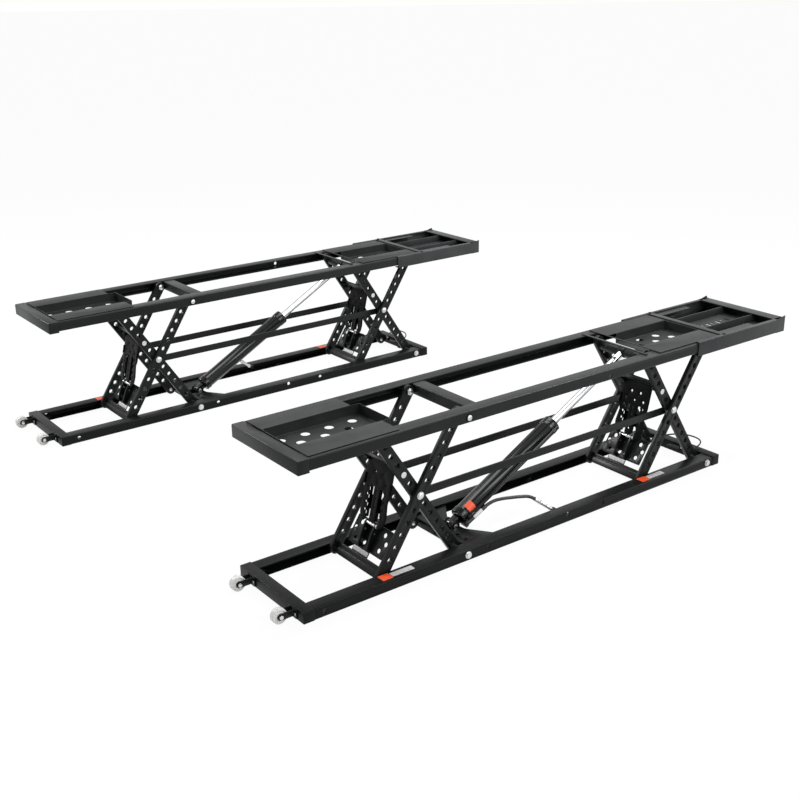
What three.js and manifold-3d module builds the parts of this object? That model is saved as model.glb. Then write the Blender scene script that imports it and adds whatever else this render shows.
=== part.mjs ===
// A pair of portable scissor car lifts, raised, in millimetres, +Z up.
// Each lift: a base frame on two casters, two scissors, a platform with two decks and a pull-out
// ramp, one hydraulic cylinder and two safety locks. The second lift is the first one's mirror image.
import * as THREE from 'three';
import Module from 'manifold-3d';
import { mergeVertices } from 'three/addons/utils/BufferGeometryUtils.js';

const wasm = await Module();
wasm.setup();

// Driving dimensions: x runs along a lift from its wheel end, y across it from its outer side
const liftWidth = 379;
const baseLength = 1924;
const liftSpacing = 1798.6;
const liftStagger = 37.8;
const armLength = 579.3;
const raisedAngle = THREE.MathUtils.degToRad(57);
const fitGap = 0.3;
const cutOver = 2;
const weld = 0.5;
const mergeGap = 0.0001;

// Base frame
const baseRailWidth = 50;
const baseRailHeight = 38;
const baseWall = 3;
const endBarLength = 40;
const endBarHeight = 40;
const endBarLap = 1.5;
const pinInset = 70;
const pinSpread = 1210;
const basePinHeight = 22;
const railHoleRadius = 6;
const railHoleXs = [76, 1102, 1277];

// Platform frame
const platformTop = 530;
const platformRailHeight = 40;
const platformRailWidth = 50;
const platformWall = 4;
const platformStart = 4;
const platformEnd = 2096;
const platformHoleX = 1285;
const platformHoleDrop = 25;
const headBarLength = 42;
const headBarDrop = 5;
const crossBarLength = 50;
const crossBarDrop = 2;
const stripStart = 1494;
const stripLength = 12;
const stripRise = 3;
const stripInset = 30;
const stopBarStart = 1877;
const stopBarLength = 10;

// Scissor arms and their pins
const armDepth = 42;
const armThick = 15;
const layerGap = 1.5;
const armHoleStart = 51.5;
const armHolePitch = 44.4;
const armHoleRadius = 9.5;
const armHoleSides = 6;
const holesEachSide = 5;
const armEndSides = 6;
const halfShare = 0.5;
const pinRadius = 8;
const pinHeadRadius = 13;
const pinHeadThick = 6.5;
const pinNutThick = 9;
const centrePinRadius = 7;
const centreHeadRadius = 11;
const centreHeadThick = 7.7;
const centreNutRadius = 10;
const centreNutThick = 5.2;
const roundSides = 14;
const smallSides = 8;
const rollerRadius = 12.7;
const upperRollerRadius = 13.4;
const rollerStart = 10;
const rollerWidth = 30;
const rollerStubRadius = 7;

// Cross bars of the arm pairs
const tieStart = 405;
const tieLength = 28;
const tieTop = -1;
const tieThick = 4;
const ribStart = 484;
const ribReach = 77;
const ribThick = 6;
const footTieThick = 15;
const footTieLength = 28;
const footTieStep = 15;

// Level bars between the two scissors
const levelBarHeight = 28;
const levelBarThick = 6;
const levelBarDrop = 9.5;
const levelEyeRadius = 14;
const levelBarOverhang = 14;

// Safety locks
const lockPinRadius = 5;
const lockSheetOffset = 4;
const lockSheetThick = 4;
const lockEarRadius = 8.2;
const lockEarThick = 4;
const lockPinGap = 1.5;
const lockSheetStart = -8;
const lockSheetHalf = 70;
const lockShoulder = 97;
const lockWaist = 116;
const lockWaistHalf = 64;
const lockHip = 165;
const lockTipStart = 192;
const lockTipSide = 66;
const lockTipHalf = 50;
const lockLength = 210;
const lockMiddleLength = 202;
const lockLean = THREE.MathUtils.degToRad(13.7);
const lockSlotStart = 85;
const lockSlotWidth = 20;
const lockHoleRadius = 5;
const lockHoles = [[34, 22], [65, 43]];
const catchSpread = 50;
const catchThick = 6;
const catchTip = 438;
const catchRoot = 533;
const catchTop = -20;
const catchBoltAlong = 446;
const catchBoltDrop = -14;
const catchBoltRadius = 5;
const catchPlateTop = 4.5;
const catchPlateThick = 3;
const catchPlateHalf = 96;
const catchPlateHoles = [[458, 64], [483, 84], [512, 66], [512, 14]];
const catchHoleRadius = 8;
const tongueShift = 13;
const tongueWidth = 86;

// Hydraulic cylinder
const footX = 727;
const footHeight = 35;
const rodEyeAlong = 559.3;
const footEyeRadius = 16;
const footEyeWidth = 30;
const footPinRadius = 8;
const footPinReach = 24;
const neckSize = 28;
const collarStart = 34;
const collarEnd = 60;
const collarRadius = 33;
const barrelRadius = 31;
const barrelEnd = 505;
const glandRadius = 33;
const glandEnd = 537;
const boreRadius = 25.3;
const boreStart = 100;
const rodRadius = 14;
const pistonRadius = 25;
const pistonLength = 18;
const rodInnerGap = 468.3;
const rodEyeRadius = 20;
const rodEyeWidth = 33;
const rodBossGap = 0.8;
const rodBossRadius = 18;
const pipeRadius = 7;
const pipeSide = 36.5;
const pipeEnd = 530;
const elbowStart = 24;
const elbowEnd = 36.8;
const elbowTop = -4;
const elbowBottom = -22;
const elbowReach = 13;

// Cylinder foot on the base frame
const footPlateStart = 668;
const footPlateEnd = 747;
const footPlateThick = 6;
const footEarThick = 8;
const footEarRadius = 18;
const gussetTip = 817;
const gussetThick = 4;
const gussetTop = 30;
const gussetDepth = 93;

// Hydraulic hose, from the elbow at the cylinder's foot to the tab on the base rail
const hoseRadius = 6;
const hoseSides = 8;
const hoseSteps = 22;
const hoseRoute = [
  [766, 150, 41.5], [776, 150, 47], [793, 149.5, 56], [810, 148.5, 65], [828, 147.8, 75], [846, 147, 84.5],
  [877, 140, 97], [906, 128, 101.5],
  [935, 115, 102], [965, 102, 101.5], [994, 90, 98], [1016, 80.5, 86], [1034, 72.5, 71], [1056, 65, 53],
  [1072, 60.5, 40],
];
const hoseTabX = 1078;
const hoseTabLength = 16;
const hoseTabDepth = 18;
const hoseTabBottom = 24;

// Lock release cable, a loop at the ramp end of the base
const cableRadius = 3;
const cableSides = 8;
const cableSteps = 28;
const cableRoute = [
  [1860, 133.7, 41], [1860.5, 124, 41.2], [1864, 113.5, 42], [1871.5, 104, 43.2], [1882, 96.5, 45],
  [1894, 91.5, 47.5], [1907, 89.5, 50.5], [1920, 91.5, 54], [1931.5, 98, 57.5], [1939.5, 108.5, 60],
  [1944, 122, 61.5], [1945.5, 138, 62], [1944, 155, 62.2], [1939.5, 174, 62], [1931, 192, 61.5],
  [1919, 208, 60.3], [1904, 222, 58.5], [1887, 235, 56], [1870.5, 246.5, 52.5], [1856.5, 256, 48.5],
  [1843, 264, 44.5], [1828.3, 269, 41.3],
];
const cableStops = [[1860, 137, 12, 6], [1823.8, 269, 6, 12]];
const cableStopTop = 47;
const cablePlateStart = 1846;
const cablePlateSide = 130;
const cablePlateWidth = 70;
const cablePlateThick = 4;
const cablePlateTop = 35;
const cableTabStart = 1820;
const cableTabSide = 262;
const cableTabWidth = 24;
const cableTabTop = 35;

// Casters
const wheelRadius = 25.2;
const wheelWidth = 22;
const wheelReach = 52.3;
const outerWheelInset = 56;
const innerWheelInset = 74;
const wheelHeight = 25.4;
const wheelCrown = 3;
const hubRadius = 13;
const hubRecess = 3;
const wheelSides = 16;
const axleRadius = 4;
const forkThick = 3;
const forkGap = 1;
const forkArmHeight = 22;
const forkPlateThick = 4;
const forkPlateWidth = 46;
const forkPlateHeight = 32;

// Decks
const deckThick = 3;
const deckEdge = 12;
const panInner = 105;
const panWall = 2;
const panFloor = 494;
const panFloorThick = 3;
const panHoleRadius = 15;
const panHoleSides = 8;
const panHolePitch = 88;
const panRowStep = 48.5;
const bridgeLength = 6;
const wheelDeck = { plateStart: 49, plateEnd: 379, panStart: 50, panEnd: 413, rows: [95, 137, 95] };
const rampDeck = { plateStart: 1551, plateEnd: 1875, panStart: 1600, panEnd: 1875, rows: [1697, 1646, 1697] };

// Pull-out ramp
const rampStart = 1747;
const rampFrameStart = 1888;
const rampEnd = 2260;
const rampClearance = 0.4;
const rampPlate = 4;
const rampBottom = 479;
const rampLip = 11.5;
const rampLowerLip = 20;
const rampEndBar = 52;
const rampFrontBar = 24;
const rampFloorBottom = 496;
const rampFloorThick = 3;
const rampFloorInset = 51;
const rampRibSpread = 150;
const rampRibThick = 4;
const rampRibTop = 529;
const rampSlotLength = 44;
const rampSlotWidth = 12;
const rampSlotStart = 1930;
const rampSlotPitch = 56;
const rampSlotRows = 5;
const rampBaySpread = 105;
const rampEarLength = 34;
const rampEarHeight = 7.6;

// Places worked out from the sizes above
const midY = liftWidth / 2;
const pinXs = { wheel_end: baseLength - pinInset - pinSpread, ramp_end: baseLength - pinInset };
const rise = armLength * Math.sin(raisedAngle);
const deckPinHeight = basePinHeight + rise;
const deckArmY = baseRailWidth + layerGap;
const baseArmY = deckArmY + armThick + layerGap;
const levelBarY = baseArmY + armThick + layerGap;
const lockPivotAlong = armLength / 2 + armHoleStart + armHolePitch;
const lockY = midY - lockSheetHalf;
const platformBottom = platformTop - platformRailHeight;
const catchY = midY - catchSpread / 2;
const armRadius = armDepth / 2;
const centreX = {
  wheel_end: pinXs.wheel_end - armLength / 2 * Math.cos(raisedAngle),
  ramp_end: pinXs.ramp_end - armLength / 2 * Math.cos(raisedAngle),
};
const centreHeight = basePinHeight + rise / 2;
const rodEye = {
  x: pinXs.ramp_end - rodEyeAlong * Math.cos(raisedAngle),
  z: basePinHeight + rodEyeAlong * Math.sin(raisedAngle),
};
const cylinderAngle = Math.atan2(rodEye.z - footHeight, rodEye.x - footX);
const cylinderLength = Math.hypot(rodEye.z - footHeight, rodEye.x - footX);

// Finishes
function finish(color, roughness, metalness) {
  return new THREE.MeshStandardMaterial({ color, roughness, metalness });
}
const blackPaint = finish(0x1b1c1d, 0.5, 0.2);
const deckPaint = finish(0x2b2d2e, 0.6, 0.2);
const glossBlack = finish(0x101112, 0.25, 0.3);
const chrome = finish(0xd8dadc, 0.12, 1);
const zinc = finish(0xb9bcbe, 0.35, 0.9);
const nylon = finish(0xe9e8e4, 0.45, 0);
const rubber = finish(0x151515, 0.7, 0);

// Solids: closed three.js geometry in, joins and cuts between
function solid(geometry) {
  const bare = geometry.clone();
  bare.deleteAttribute('normal');
  bare.deleteAttribute('uv');
  const merged = mergeVertices(bare, mergeGap);
  return new wasm.Manifold(new wasm.Mesh({
    numProp: 3,
    vertProperties: merged.attributes.position.array,
    triVerts: Uint32Array.from(merged.index.array),
  }));
}

function join(...pieces) {
  return pieces.flat(Infinity).reduce((whole, piece) => whole.add(piece));
}

function cut(body, ...tools) {
  return tools.flat(Infinity).reduce((rest, tool) => rest.subtract(tool), body);
}

function block(x, y, z) {
  const box = new THREE.BoxGeometry(x[1] - x[0], y[1] - y[0], z[1] - z[0]);
  box.translate((x[0] + x[1]) / 2, (y[0] + y[1]) / 2, (z[0] + z[1]) / 2);
  return solid(box);
}

function rodAcross(x, z, radius, y, sides = roundSides) {
  const rod = new THREE.CylinderGeometry(radius, radius, y[1] - y[0], sides);
  rod.translate(x, (y[0] + y[1]) / 2, z);
  return solid(rod);
}

function rodAlong(y, z, radius, x, sides = roundSides) {
  const rod = new THREE.CylinderGeometry(radius, radius, x[1] - x[0], sides);
  rod.rotateZ(-Math.PI / 2);
  rod.translate((x[0] + x[1]) / 2, y, z);
  return solid(rod);
}

function rodUp(x, y, radius, z, sides = armHoleSides) {
  const rod = new THREE.CylinderGeometry(radius, radius, z[1] - z[0], sides);
  rod.rotateX(Math.PI / 2);
  rod.translate(x, y, (z[0] + z[1]) / 2);
  return solid(rod);
}

function ring(x, z, radius, sides, from = 0, share = 1) {
  const count = share < 1 ? sides + 1 : sides;
  return Array.from({ length: count }, (_, i) => {
    const turn = from + share * 2 * Math.PI * i / sides;
    return [x + radius * Math.cos(turn), z + radius * Math.sin(turn)];
  });
}

// An outline in x and z, with holes, given a thickness across the lift
function sidePlate(outline, y, holes = []) {
  const shape = new THREE.Shape(outline.map(([x, z]) => new THREE.Vector2(x, z)));
  for (const hole of holes) shape.holes.push(new THREE.Path(hole.map(([x, z]) => new THREE.Vector2(x, z))));
  const plate = new THREE.ExtrudeGeometry(shape, { depth: y[1] - y[0], bevelEnabled: false });
  plate.rotateX(Math.PI / 2);
  plate.translate(0, y[1], 0);
  return solid(plate);
}

// An outline in x and y, given a height
function flatPlate(outline, z) {
  const shape = new THREE.Shape(outline.map(([x, y]) => new THREE.Vector2(x, y)));
  const plate = new THREE.ExtrudeGeometry(shape, { depth: z[1] - z[0], bevelEnabled: false });
  plate.translate(0, 0, z[0]);
  return solid(plate);
}

function tube(route, radius, sides, steps) {
  const curve = new THREE.CatmullRomCurve3(route.map((p) => new THREE.Vector3(...p)));
  const ring = new THREE.Shape(Array.from({ length: sides }, (_, i) => new THREE.Vector2(
    radius * Math.cos(2 * Math.PI * i / sides),
    radius * Math.sin(2 * Math.PI * i / sides),
  )));
  return solid(new THREE.ExtrudeGeometry(ring, { steps, extrudePath: curve, bevelEnabled: false }));
}

// The corner radius of a hole whose flats stay clear of a pin
function clearOf(radius, sides = smallSides) {
  return (radius + fitGap) / Math.cos(Math.PI / sides);
}

function acrossBoth(y) {
  return [y, [liftWidth - y[1], liftWidth - y[0]]];
}

function span(start, length) {
  return [start, start + length];
}

// Base frame: two channels, two end bars, the cylinder's foot and the tabs for hose and cable
function baseFrame() {
  const outer = [-endBarLap, liftWidth + endBarLap];
  const between = [endBarLength, baseLength - endBarLength];
  const open = [-cutOver, endBarHeight + cutOver];
  const frame = cut(
    block([0, baseLength], outer, [0, endBarHeight]),
    block(between, [outer[0] - cutOver, 0], open),
    block(between, [liftWidth, outer[1] + cutOver], open),
    block(between, [outer[0] - cutOver, outer[1] + cutOver], [baseRailHeight, open[1]]),
    block(between, [baseRailWidth, liftWidth - baseRailWidth], open),
    block(between, [baseWall, liftWidth - baseWall], [baseWall, baseRailHeight - baseWall]),
    [0, between[1]].map((x) => block(
      [x + baseWall, x + endBarLength - baseWall], [baseWall, liftWidth - baseWall],
      [-cutOver, endBarHeight - baseWall],
    )),
  );
  const floorPlate = block(
    [footPlateStart, footPlateEnd],
    [baseRailWidth - cutOver, liftWidth - baseRailWidth + cutOver],
    [weld, footPlateThick],
  );
  const earStart = midY - footEyeWidth / 2 - footEarThick - layerGap;
  const ears = acrossBoth(span(earStart, footEarThick)).map((y) => join(
    rodAcross(footX, footHeight, footEarRadius, y),
    block([footX - footEarRadius, footX + footEarRadius], y, [weld * 2, footHeight]),
  ));
  const footHole = rodAcross(
    footX, footHeight, clearOf(footPinRadius, roundSides),
    [earStart - cutOver, liftWidth - earStart + cutOver],
  );
  const gussetInner = earStart + weld;
  const gussetOutline = [
    [footPlateStart, baseRailWidth - cutOver], [gussetTip, baseRailWidth - cutOver],
    [footPlateEnd, baseRailWidth + gussetDepth], [footPlateEnd, gussetInner], [footPlateStart, gussetInner],
  ];
  const gussetZ = [gussetTop - gussetThick, gussetTop];
  const gussets = [
    flatPlate(gussetOutline, gussetZ),
    flatPlate(gussetOutline.map(([x, y]) => [x, liftWidth - y]).reverse(), gussetZ),
  ];
  const gussetLegs = acrossBoth([baseRailWidth - weld, gussetInner]).map((y) => block(
    [footPlateStart, footPlateStart + gussetThick], y, [footPlateThick - weld, gussetTop],
  ));
  const hoseTab = block(
    span(hoseTabX, hoseTabLength), [baseRailWidth - weld, baseRailWidth + hoseTabDepth],
    [hoseTabBottom, baseRailHeight - weld],
  );
  const cablePlate = block(
    [cablePlateStart, baseLength - endBarLength + cutOver],
    span(cablePlateSide, cablePlateWidth),
    [cablePlateTop - cablePlateThick, cablePlateTop],
  );
  const cableTab = block(
    [cableTabStart, baseLength - endBarLength + cutOver],
    span(cableTabSide, cableTabWidth),
    [cableTabTop - cablePlateThick, cableTabTop],
  );
  const cableEnds = cableStops.map(([x, y, long, wide]) => block(
    [x - long / 2, x + long / 2], [y - wide / 2, y + wide / 2], [cablePlateTop - weld, cableStopTop],
  ));
  const holes = railHoleXs.map((x) => rodAcross(
    x, basePinHeight, railHoleRadius, [-cutOver, baseWall + cutOver], smallSides,
  ));
  const pinHoles = Object.values(pinXs).map((x) => rodAcross(
    x, basePinHeight, clearOf(pinRadius), [-cutOver, liftWidth + cutOver], smallSides,
  ));
  return cut(
    join(frame, floorPlate, ears, gussets, gussetLegs, hoseTab, cablePlate, cableTab, cableEnds),
    holes, pinHoles, footHole,
  );
}

function basePin(x, far) {
  const pin = join(
    rodAcross(x, basePinHeight, pinRadius, [-fitGap - weld, baseArmY + armThick + layerGap / 2], smallSides),
    rodAcross(x, basePinHeight, pinHeadRadius, [-fitGap - pinHeadThick, -fitGap], smallSides),
  );
  return far ? flipAcross(pin) : pin;
}

function deckPin(x, far, covered) {
  const shaftStart = covered ? 0 : -fitGap - weld;
  const nutStart = deckArmY + armThick + fitGap;
  const shaft = rodAcross(x, deckPinHeight, pinRadius, [shaftStart, nutStart + weld], smallSides);
  const nut = rodAcross(x, deckPinHeight, pinHeadRadius, span(nutStart, pinNutThick), smallSides);
  const head = rodAcross(x, deckPinHeight, pinHeadRadius, [-fitGap - pinHeadThick, -fitGap], smallSides);
  const pin = covered ? join(shaft, nut) : join(shaft, nut, head);
  return far ? flipAcross(pin) : pin;
}

// The mirror image of a solid across the lift's middle
function flipAcross(body) {
  return solid(mirrored(toGeometry(body), liftWidth));
}

// One arm in its own frame: pin at the origin, the arm along +x, its underside towards +z
function arm(y, filled, pinHoles) {
  const outline = [
    ...ring(armLength, 0, armRadius, armEndSides, -Math.PI / 2, halfShare),
    ...ring(0, 0, armRadius, armEndSides, Math.PI / 2, halfShare),
  ];
  const steps = Array.from({ length: holesEachSide }, (_, i) => armHoleStart + i * armHolePitch);
  const holes = steps.flatMap((step) => [armLength / 2 - step, armLength / 2 + step])
    .filter((x) => Math.abs(x - filled) > weld)
    .map((x) => ring(x, 0, armHoleRadius, armHoleSides));
  const pins = pinHoles.map(([x, radius]) => ring(x, 0, clearOf(radius), smallSides));
  return sidePlate(outline, y, [...holes, ...pins]);
}

// Inner arms, pinned to the base; their tops roll in the platform rails
function baseArms(end) {
  const layer = [baseArmY, baseArmY + armThick];
  const arms = acrossBoth(layer).map((y) => arm(y, lockPivotAlong, [[0, pinRadius]]));
  const tie = block(
    span(tieStart, tieLength),
    [baseArmY + armThick - weld, liftWidth - baseArmY - armThick + weld],
    span(tieTop, tieThick),
  );
  const headStart = deckArmY - fitGap - centreHeadThick;
  const nutStart = levelBarY + levelBarThick + fitGap;
  const centrePins = acrossBoth([headStart, nutStart + centreNutThick])
    .map((y) => rodAcross(armLength / 2, 0, centrePinRadius, y, smallSides));
  const centreHeads = [
    ...acrossBoth(span(headStart, centreHeadThick)).map((y) => [y, centreHeadRadius]),
    ...acrossBoth(span(nutStart, centreNutThick)).map((y) => [y, centreNutRadius]),
  ].map(([y, radius]) => rodAcross(armLength / 2, 0, radius, y, smallSides));
  const stubs = acrossBoth([rollerStart + rollerWidth - weld, baseArmY + weld])
    .map((y) => rodAcross(armLength, 0, rollerStubRadius, y, smallSides));
  const rollers = acrossBoth(span(rollerStart, rollerWidth))
    .map((y) => rodAcross(armLength, 0, upperRollerRadius, y));
  const lockPins = acrossBoth([baseArmY + armThick - weld, lockY + lockEarThick + weld])
    .map((y) => rodAcross(lockPivotAlong, 0, lockPinRadius, y, smallSides));
  const parts = [arms, tie, centrePins, centreHeads, stubs, rollers, lockPins];
  if (end === 'ramp_end') {
    const bossInner = midY - rodEyeWidth / 2 - rodBossGap;
    const bosses = acrossBoth([baseArmY + armThick - weld, bossInner]);
    parts.push(bosses.map((y) => rodAcross(rodEyeAlong, 0, rodBossRadius, y)));
    const root = baseArmY + armThick - weld;
    const outline = [[ribStart, root], [rodEyeAlong, root], [rodEyeAlong, root + ribReach]];
    const ribZ = [-ribThick / 2, ribThick / 2];
    parts.push(flatPlate(outline, ribZ));
    parts.push(flatPlate(outline.map(([x, y]) => [x, liftWidth - y]).reverse(), ribZ));
  }
  return join(parts);
}

// Outer arms, pinned to the platform; their feet roll in the base rails and carry the lock's catch
function deckArms() {
  const layer = [deckArmY, deckArmY + armThick];
  const arms = acrossBoth(layer).map((y) => arm(y, 0, [[0, pinRadius], [armLength / 2, centrePinRadius]]));
  const inner = [deckArmY + armThick - weld, liftWidth - deckArmY - armThick + weld];
  const footTie = block(
    span(armLength - footTieStep, footTieLength), inner, [-footTieThick / 2, footTieThick / 2],
  );
  const stubs = acrossBoth([rollerStart + rollerWidth - weld, deckArmY + weld])
    .map((y) => rodAcross(armLength, 0, rollerStubRadius, y, smallSides));
  const rollers = acrossBoth(span(rollerStart, rollerWidth))
    .map((y) => rodAcross(armLength, 0, rollerRadius, y));
  const plateZ = span(catchPlateTop, catchPlateThick);
  const prongs = acrossBoth([catchY - catchThick / 2, catchY + catchThick / 2]).map((y) => block(
    [catchTip, catchRoot], y, [catchTop, plateZ[1] - weld],
  ));
  const plateHoles = catchPlateHoles.flatMap(([along, away]) => [midY - away, midY + away].map(
    (y) => rodUp(along, y, catchHoleRadius, [plateZ[0] - cutOver, plateZ[1] + cutOver]),
  ));
  const plateY = [midY - catchPlateHalf, midY + catchPlateHalf];
  const plate = cut(block([catchTip - weld * 2, catchRoot + weld * 2], plateY, plateZ), plateHoles);
  const tongue = block(
    [catchRoot, armLength - footTieStep + weld],
    span(midY + tongueShift - tongueWidth / 2, tongueWidth),
    [plateZ[0] + weld / 2, plateZ[1] - weld / 2],
  );
  const boltY = [catchY - catchThick / 2 - weld, liftWidth - catchY + catchThick / 2 + weld];
  const bolt = rodAcross(catchBoltAlong, catchBoltDrop, catchBoltRadius, boltY, smallSides);
  return join(arms, footTie, stubs, rollers, plate, tongue, prongs, bolt);
}

function levelBar(far) {
  const y = [levelBarY, levelBarY + levelBarThick];
  const x = [centreX.wheel_end, centreX.ramp_end];
  const z = centreHeight - levelBarDrop;
  const bar = join(
    block(
      [x[0] - levelBarOverhang, x[1] + levelBarOverhang], y, [z - levelBarHeight / 2, z + levelBarHeight / 2],
    ),
    x.map((eye) => rodAcross(eye, centreHeight, levelEyeRadius, y)),
  );
  const eyes = x.map((eye) => rodAcross(
    eye, centreHeight, clearOf(centrePinRadius), [y[0] - cutOver, y[1] + cutOver], smallSides,
  ));
  const whole = cut(bar, eyes);
  return far ? flipAcross(whole) : whole;
}

// Platform frame: two channels, the head bar, the cross tube, the flat strip and the stop bar
function platformFrame() {
  const railStart = platformStart + headBarLength;
  const headBottom = platformBottom - headBarDrop;
  const past = platformEnd + cutOver;
  const across = [-cutOver, liftWidth + cutOver];
  const within = [platformWall, liftWidth - platformWall];
  const frame = cut(
    block([platformStart, platformEnd], [0, liftWidth], [headBottom, platformTop]),
    block([railStart, past], across, [headBottom - cutOver, platformBottom]),
    block(
      [railStart, past], [platformRailWidth, liftWidth - platformRailWidth],
      [headBottom, platformTop + cutOver],
    ),
    block([railStart - weld, past], within, [platformBottom + platformWall, platformTop - platformWall]),
    block(
      [platformStart + platformWall, railStart], within,
      [headBottom + platformWall, platformTop - platformWall],
    ),
  );
  const between = [platformRailWidth - weld, liftWidth - platformRailWidth + weld];
  const crossX = span(footPlateStart, crossBarLength);
  const crossBar = cut(
    block(crossX, between, [platformBottom + weld, platformTop - crossBarDrop]),
    block(
      [crossX[0] + platformWall, crossX[1] - platformWall],
      [between[0] - cutOver, between[1] + cutOver],
      [platformBottom - cutOver, platformTop - crossBarDrop - platformWall],
    ),
  );
  const strip = block(
    span(stripStart, stripLength), [stripInset, liftWidth - stripInset],
    [platformTop - weld, platformTop + stripRise],
  );
  const stopBar = block(
    span(stopBarStart, stopBarLength), between, [platformBottom + weld, platformTop - weld],
  );
  const pinHoles = Object.values(pinXs).map((x) => rodAcross(
    x, deckPinHeight, clearOf(pinRadius), [-cutOver, liftWidth + cutOver], smallSides,
  ));
  const webHole = rodAcross(
    platformHoleX, platformTop - platformHoleDrop, railHoleRadius, [-cutOver, platformWall + cutOver],
    smallSides,
  );
  return cut(join(frame, crossBar, strip, stopBar), pinHoles, webHole);
}

// The two tread plates of a deck, on the rails
function deckPlates(size) {
  return acrossBoth([deckEdge, panInner])
    .map((y) => block([size.plateStart, size.plateEnd], y, span(platformTop + fitGap, deckThick)));
}

// The perforated pan sunk between them; one of the two has no wall at its left end
function deckPan(size, panY, leftWall) {
  const top = platformTop + fitGap + deckThick;
  const pan = cut(
    block([size.panStart, size.panEnd], panY, [panFloor, top - weld]),
    block(
      [size.panStart + leftWall, size.panEnd - panWall],
      [panY[0] + panWall, panY[1] - panWall],
      [panFloor + panFloorThick, top + cutOver],
    ),
  );
  const rows = size.rows.map((first, row) => [midY + (row - 1) * panRowStep, first]);
  const holes = rows.flatMap(([y, first]) => {
    const count = 1 + Math.floor((size.panEnd - panWall - panHoleRadius - first) / panHolePitch);
    return Array.from({ length: count }, (_, i) => rodUp(
      first + i * panHolePitch, y, panHoleRadius, [panFloor - cutOver, panFloor + panFloorThick + cutOver],
      panHoleSides,
    ));
  });
  return cut(pan, holes);
}

function wheelEndDeck() {
  return join(
    deckPlates(wheelDeck),
    deckPan(wheelDeck, [panInner - panWall, liftWidth - panInner + panWall], panWall),
  );
}

function rampEndDeck() {
  const bottom = platformTop + fitGap + weld / 2;
  const bridge = block(
    span(rampDeck.plateStart + weld, bridgeLength), [panInner - weld, liftWidth - panInner + weld],
    [bottom, bottom + deckThick - weld],
  );
  return join(deckPlates(rampDeck), bridge);
}

function rampEndPan() {
  return deckPan(rampDeck, [panInner + fitGap, liftWidth - panInner - fitGap], -cutOver);
}

// The ramp: side sleeves over the platform rails, a ribbed and slotted floor, a front and an end bar
function ramp() {
  const outer = -rampClearance - rampPlate;
  const top = [platformTop + rampClearance, platformTop + rampClearance + rampPlate];
  const under = [rampBottom - cutOver, rampBottom + rampPlate + weld];
  const over = [top[0] - weld, top[1] + cutOver];
  const endX = [rampEnd - rampEndBar, rampEnd];
  const body = cut(
    block([rampStart, rampEnd], [outer, liftWidth - outer], [rampBottom, top[1]]),
    block(
      [rampStart - cutOver, rampEnd - rampPlate], [-rampClearance, liftWidth + rampClearance],
      [under[1] - weld, top[0]],
    ),
    block([rampStart - cutOver, endX[0]], [rampLowerLip, liftWidth - rampLowerLip], under),
    block([rampStart - cutOver, rampFrameStart], [rampLip, liftWidth - rampLip], over),
    block([rampFrameStart + rampFrontBar, endX[0]], [rampLip, liftWidth - rampLip], over),
  );
  const inside = [rampFloorInset, liftWidth - rampFloorInset];
  const floorZ = span(rampFloorBottom, rampFloorThick);
  const floor = block([rampFrameStart + weld, rampEnd - weld], inside, floorZ);
  const frontWall = block(
    span(rampFrameStart + weld, rampPlate), [inside[0] - weld, inside[1] + weld],
    [rampFloorBottom - weld, top[0] + weld],
  );
  const ribs = acrossBoth(span(midY - rampRibSpread / 2, rampRibThick)).map((y) => block(
    [rampFrameStart + weld * 2, rampEnd - weld * 2], y, [floorZ[1] - weld, rampRibTop],
  ));
  const ears = acrossBoth([outer, -rampClearance]).map((y) => sidePlate([
    [rampEnd - rampEarLength, top[1] - weld], [rampEnd, top[1] - weld], [rampEnd, top[1] + rampEarHeight],
  ], y));
  const slots = [midY - rampBaySpread, midY, midY + rampBaySpread].flatMap((y) => Array.from(
    { length: rampSlotRows },
    (_, i) => block(
      span(rampSlotStart + i * rampSlotPitch, rampSlotWidth),
      [y - rampSlotLength / 2, y + rampSlotLength / 2],
      [floorZ[0] - cutOver, floorZ[1] + cutOver],
    ),
  ));
  return join(body, cut(floor, slots), frontWall, ribs, ears);
}

// The safety lock in its own frame: pivot at the origin, hanging along +x, its sheet towards +z
function lockPawl() {
  const sheetZ = [lockSheetOffset - lockSheetThick / 2, lockSheetOffset + lockSheetThick / 2];
  const through = [sheetZ[0] - cutOver, sheetZ[1] + cutOver];
  const side = [
    [lockSheetStart, lockSheetHalf], [lockShoulder, lockSheetHalf], [lockWaist, lockWaistHalf],
    [lockHip, lockSheetHalf], [lockTipStart, lockTipSide], [lockLength, lockTipHalf],
  ];
  const outline = [...side.map(([x, y]) => [x, midY - y]), ...side.map(([x, y]) => [x, midY + y]).reverse()];
  const sheet = flatPlate(outline, sheetZ);
  const slotCentres = [midY - catchSpread / 2, midY + catchSpread / 2];
  const slots = slotCentres.map((y) => block(
    [lockSlotStart, lockLength + cutOver], [y - lockSlotWidth / 2, y + lockSlotWidth / 2], through,
  ));
  const middleEnd = block([lockMiddleLength, lockLength + cutOver], slotCentres, through);
  const holes = lockHoles.flatMap(([x, away]) => [midY - away, midY + away].map(
    (y) => rodUp(x, y, lockHoleRadius, through),
  ));
  const ears = acrossBoth(span(lockY, lockEarThick)).map((y) => rodAcross(0, 0, lockEarRadius, y));
  const pinHoles = acrossBoth([lockY - cutOver, lockY + lockEarThick + lockPinGap])
    .map((y) => rodAcross(0, 0, clearOf(lockPinRadius), y, smallSides));
  return cut(join(cut(sheet, slots, middleEnd, holes), ears), pinHoles);
}

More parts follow.
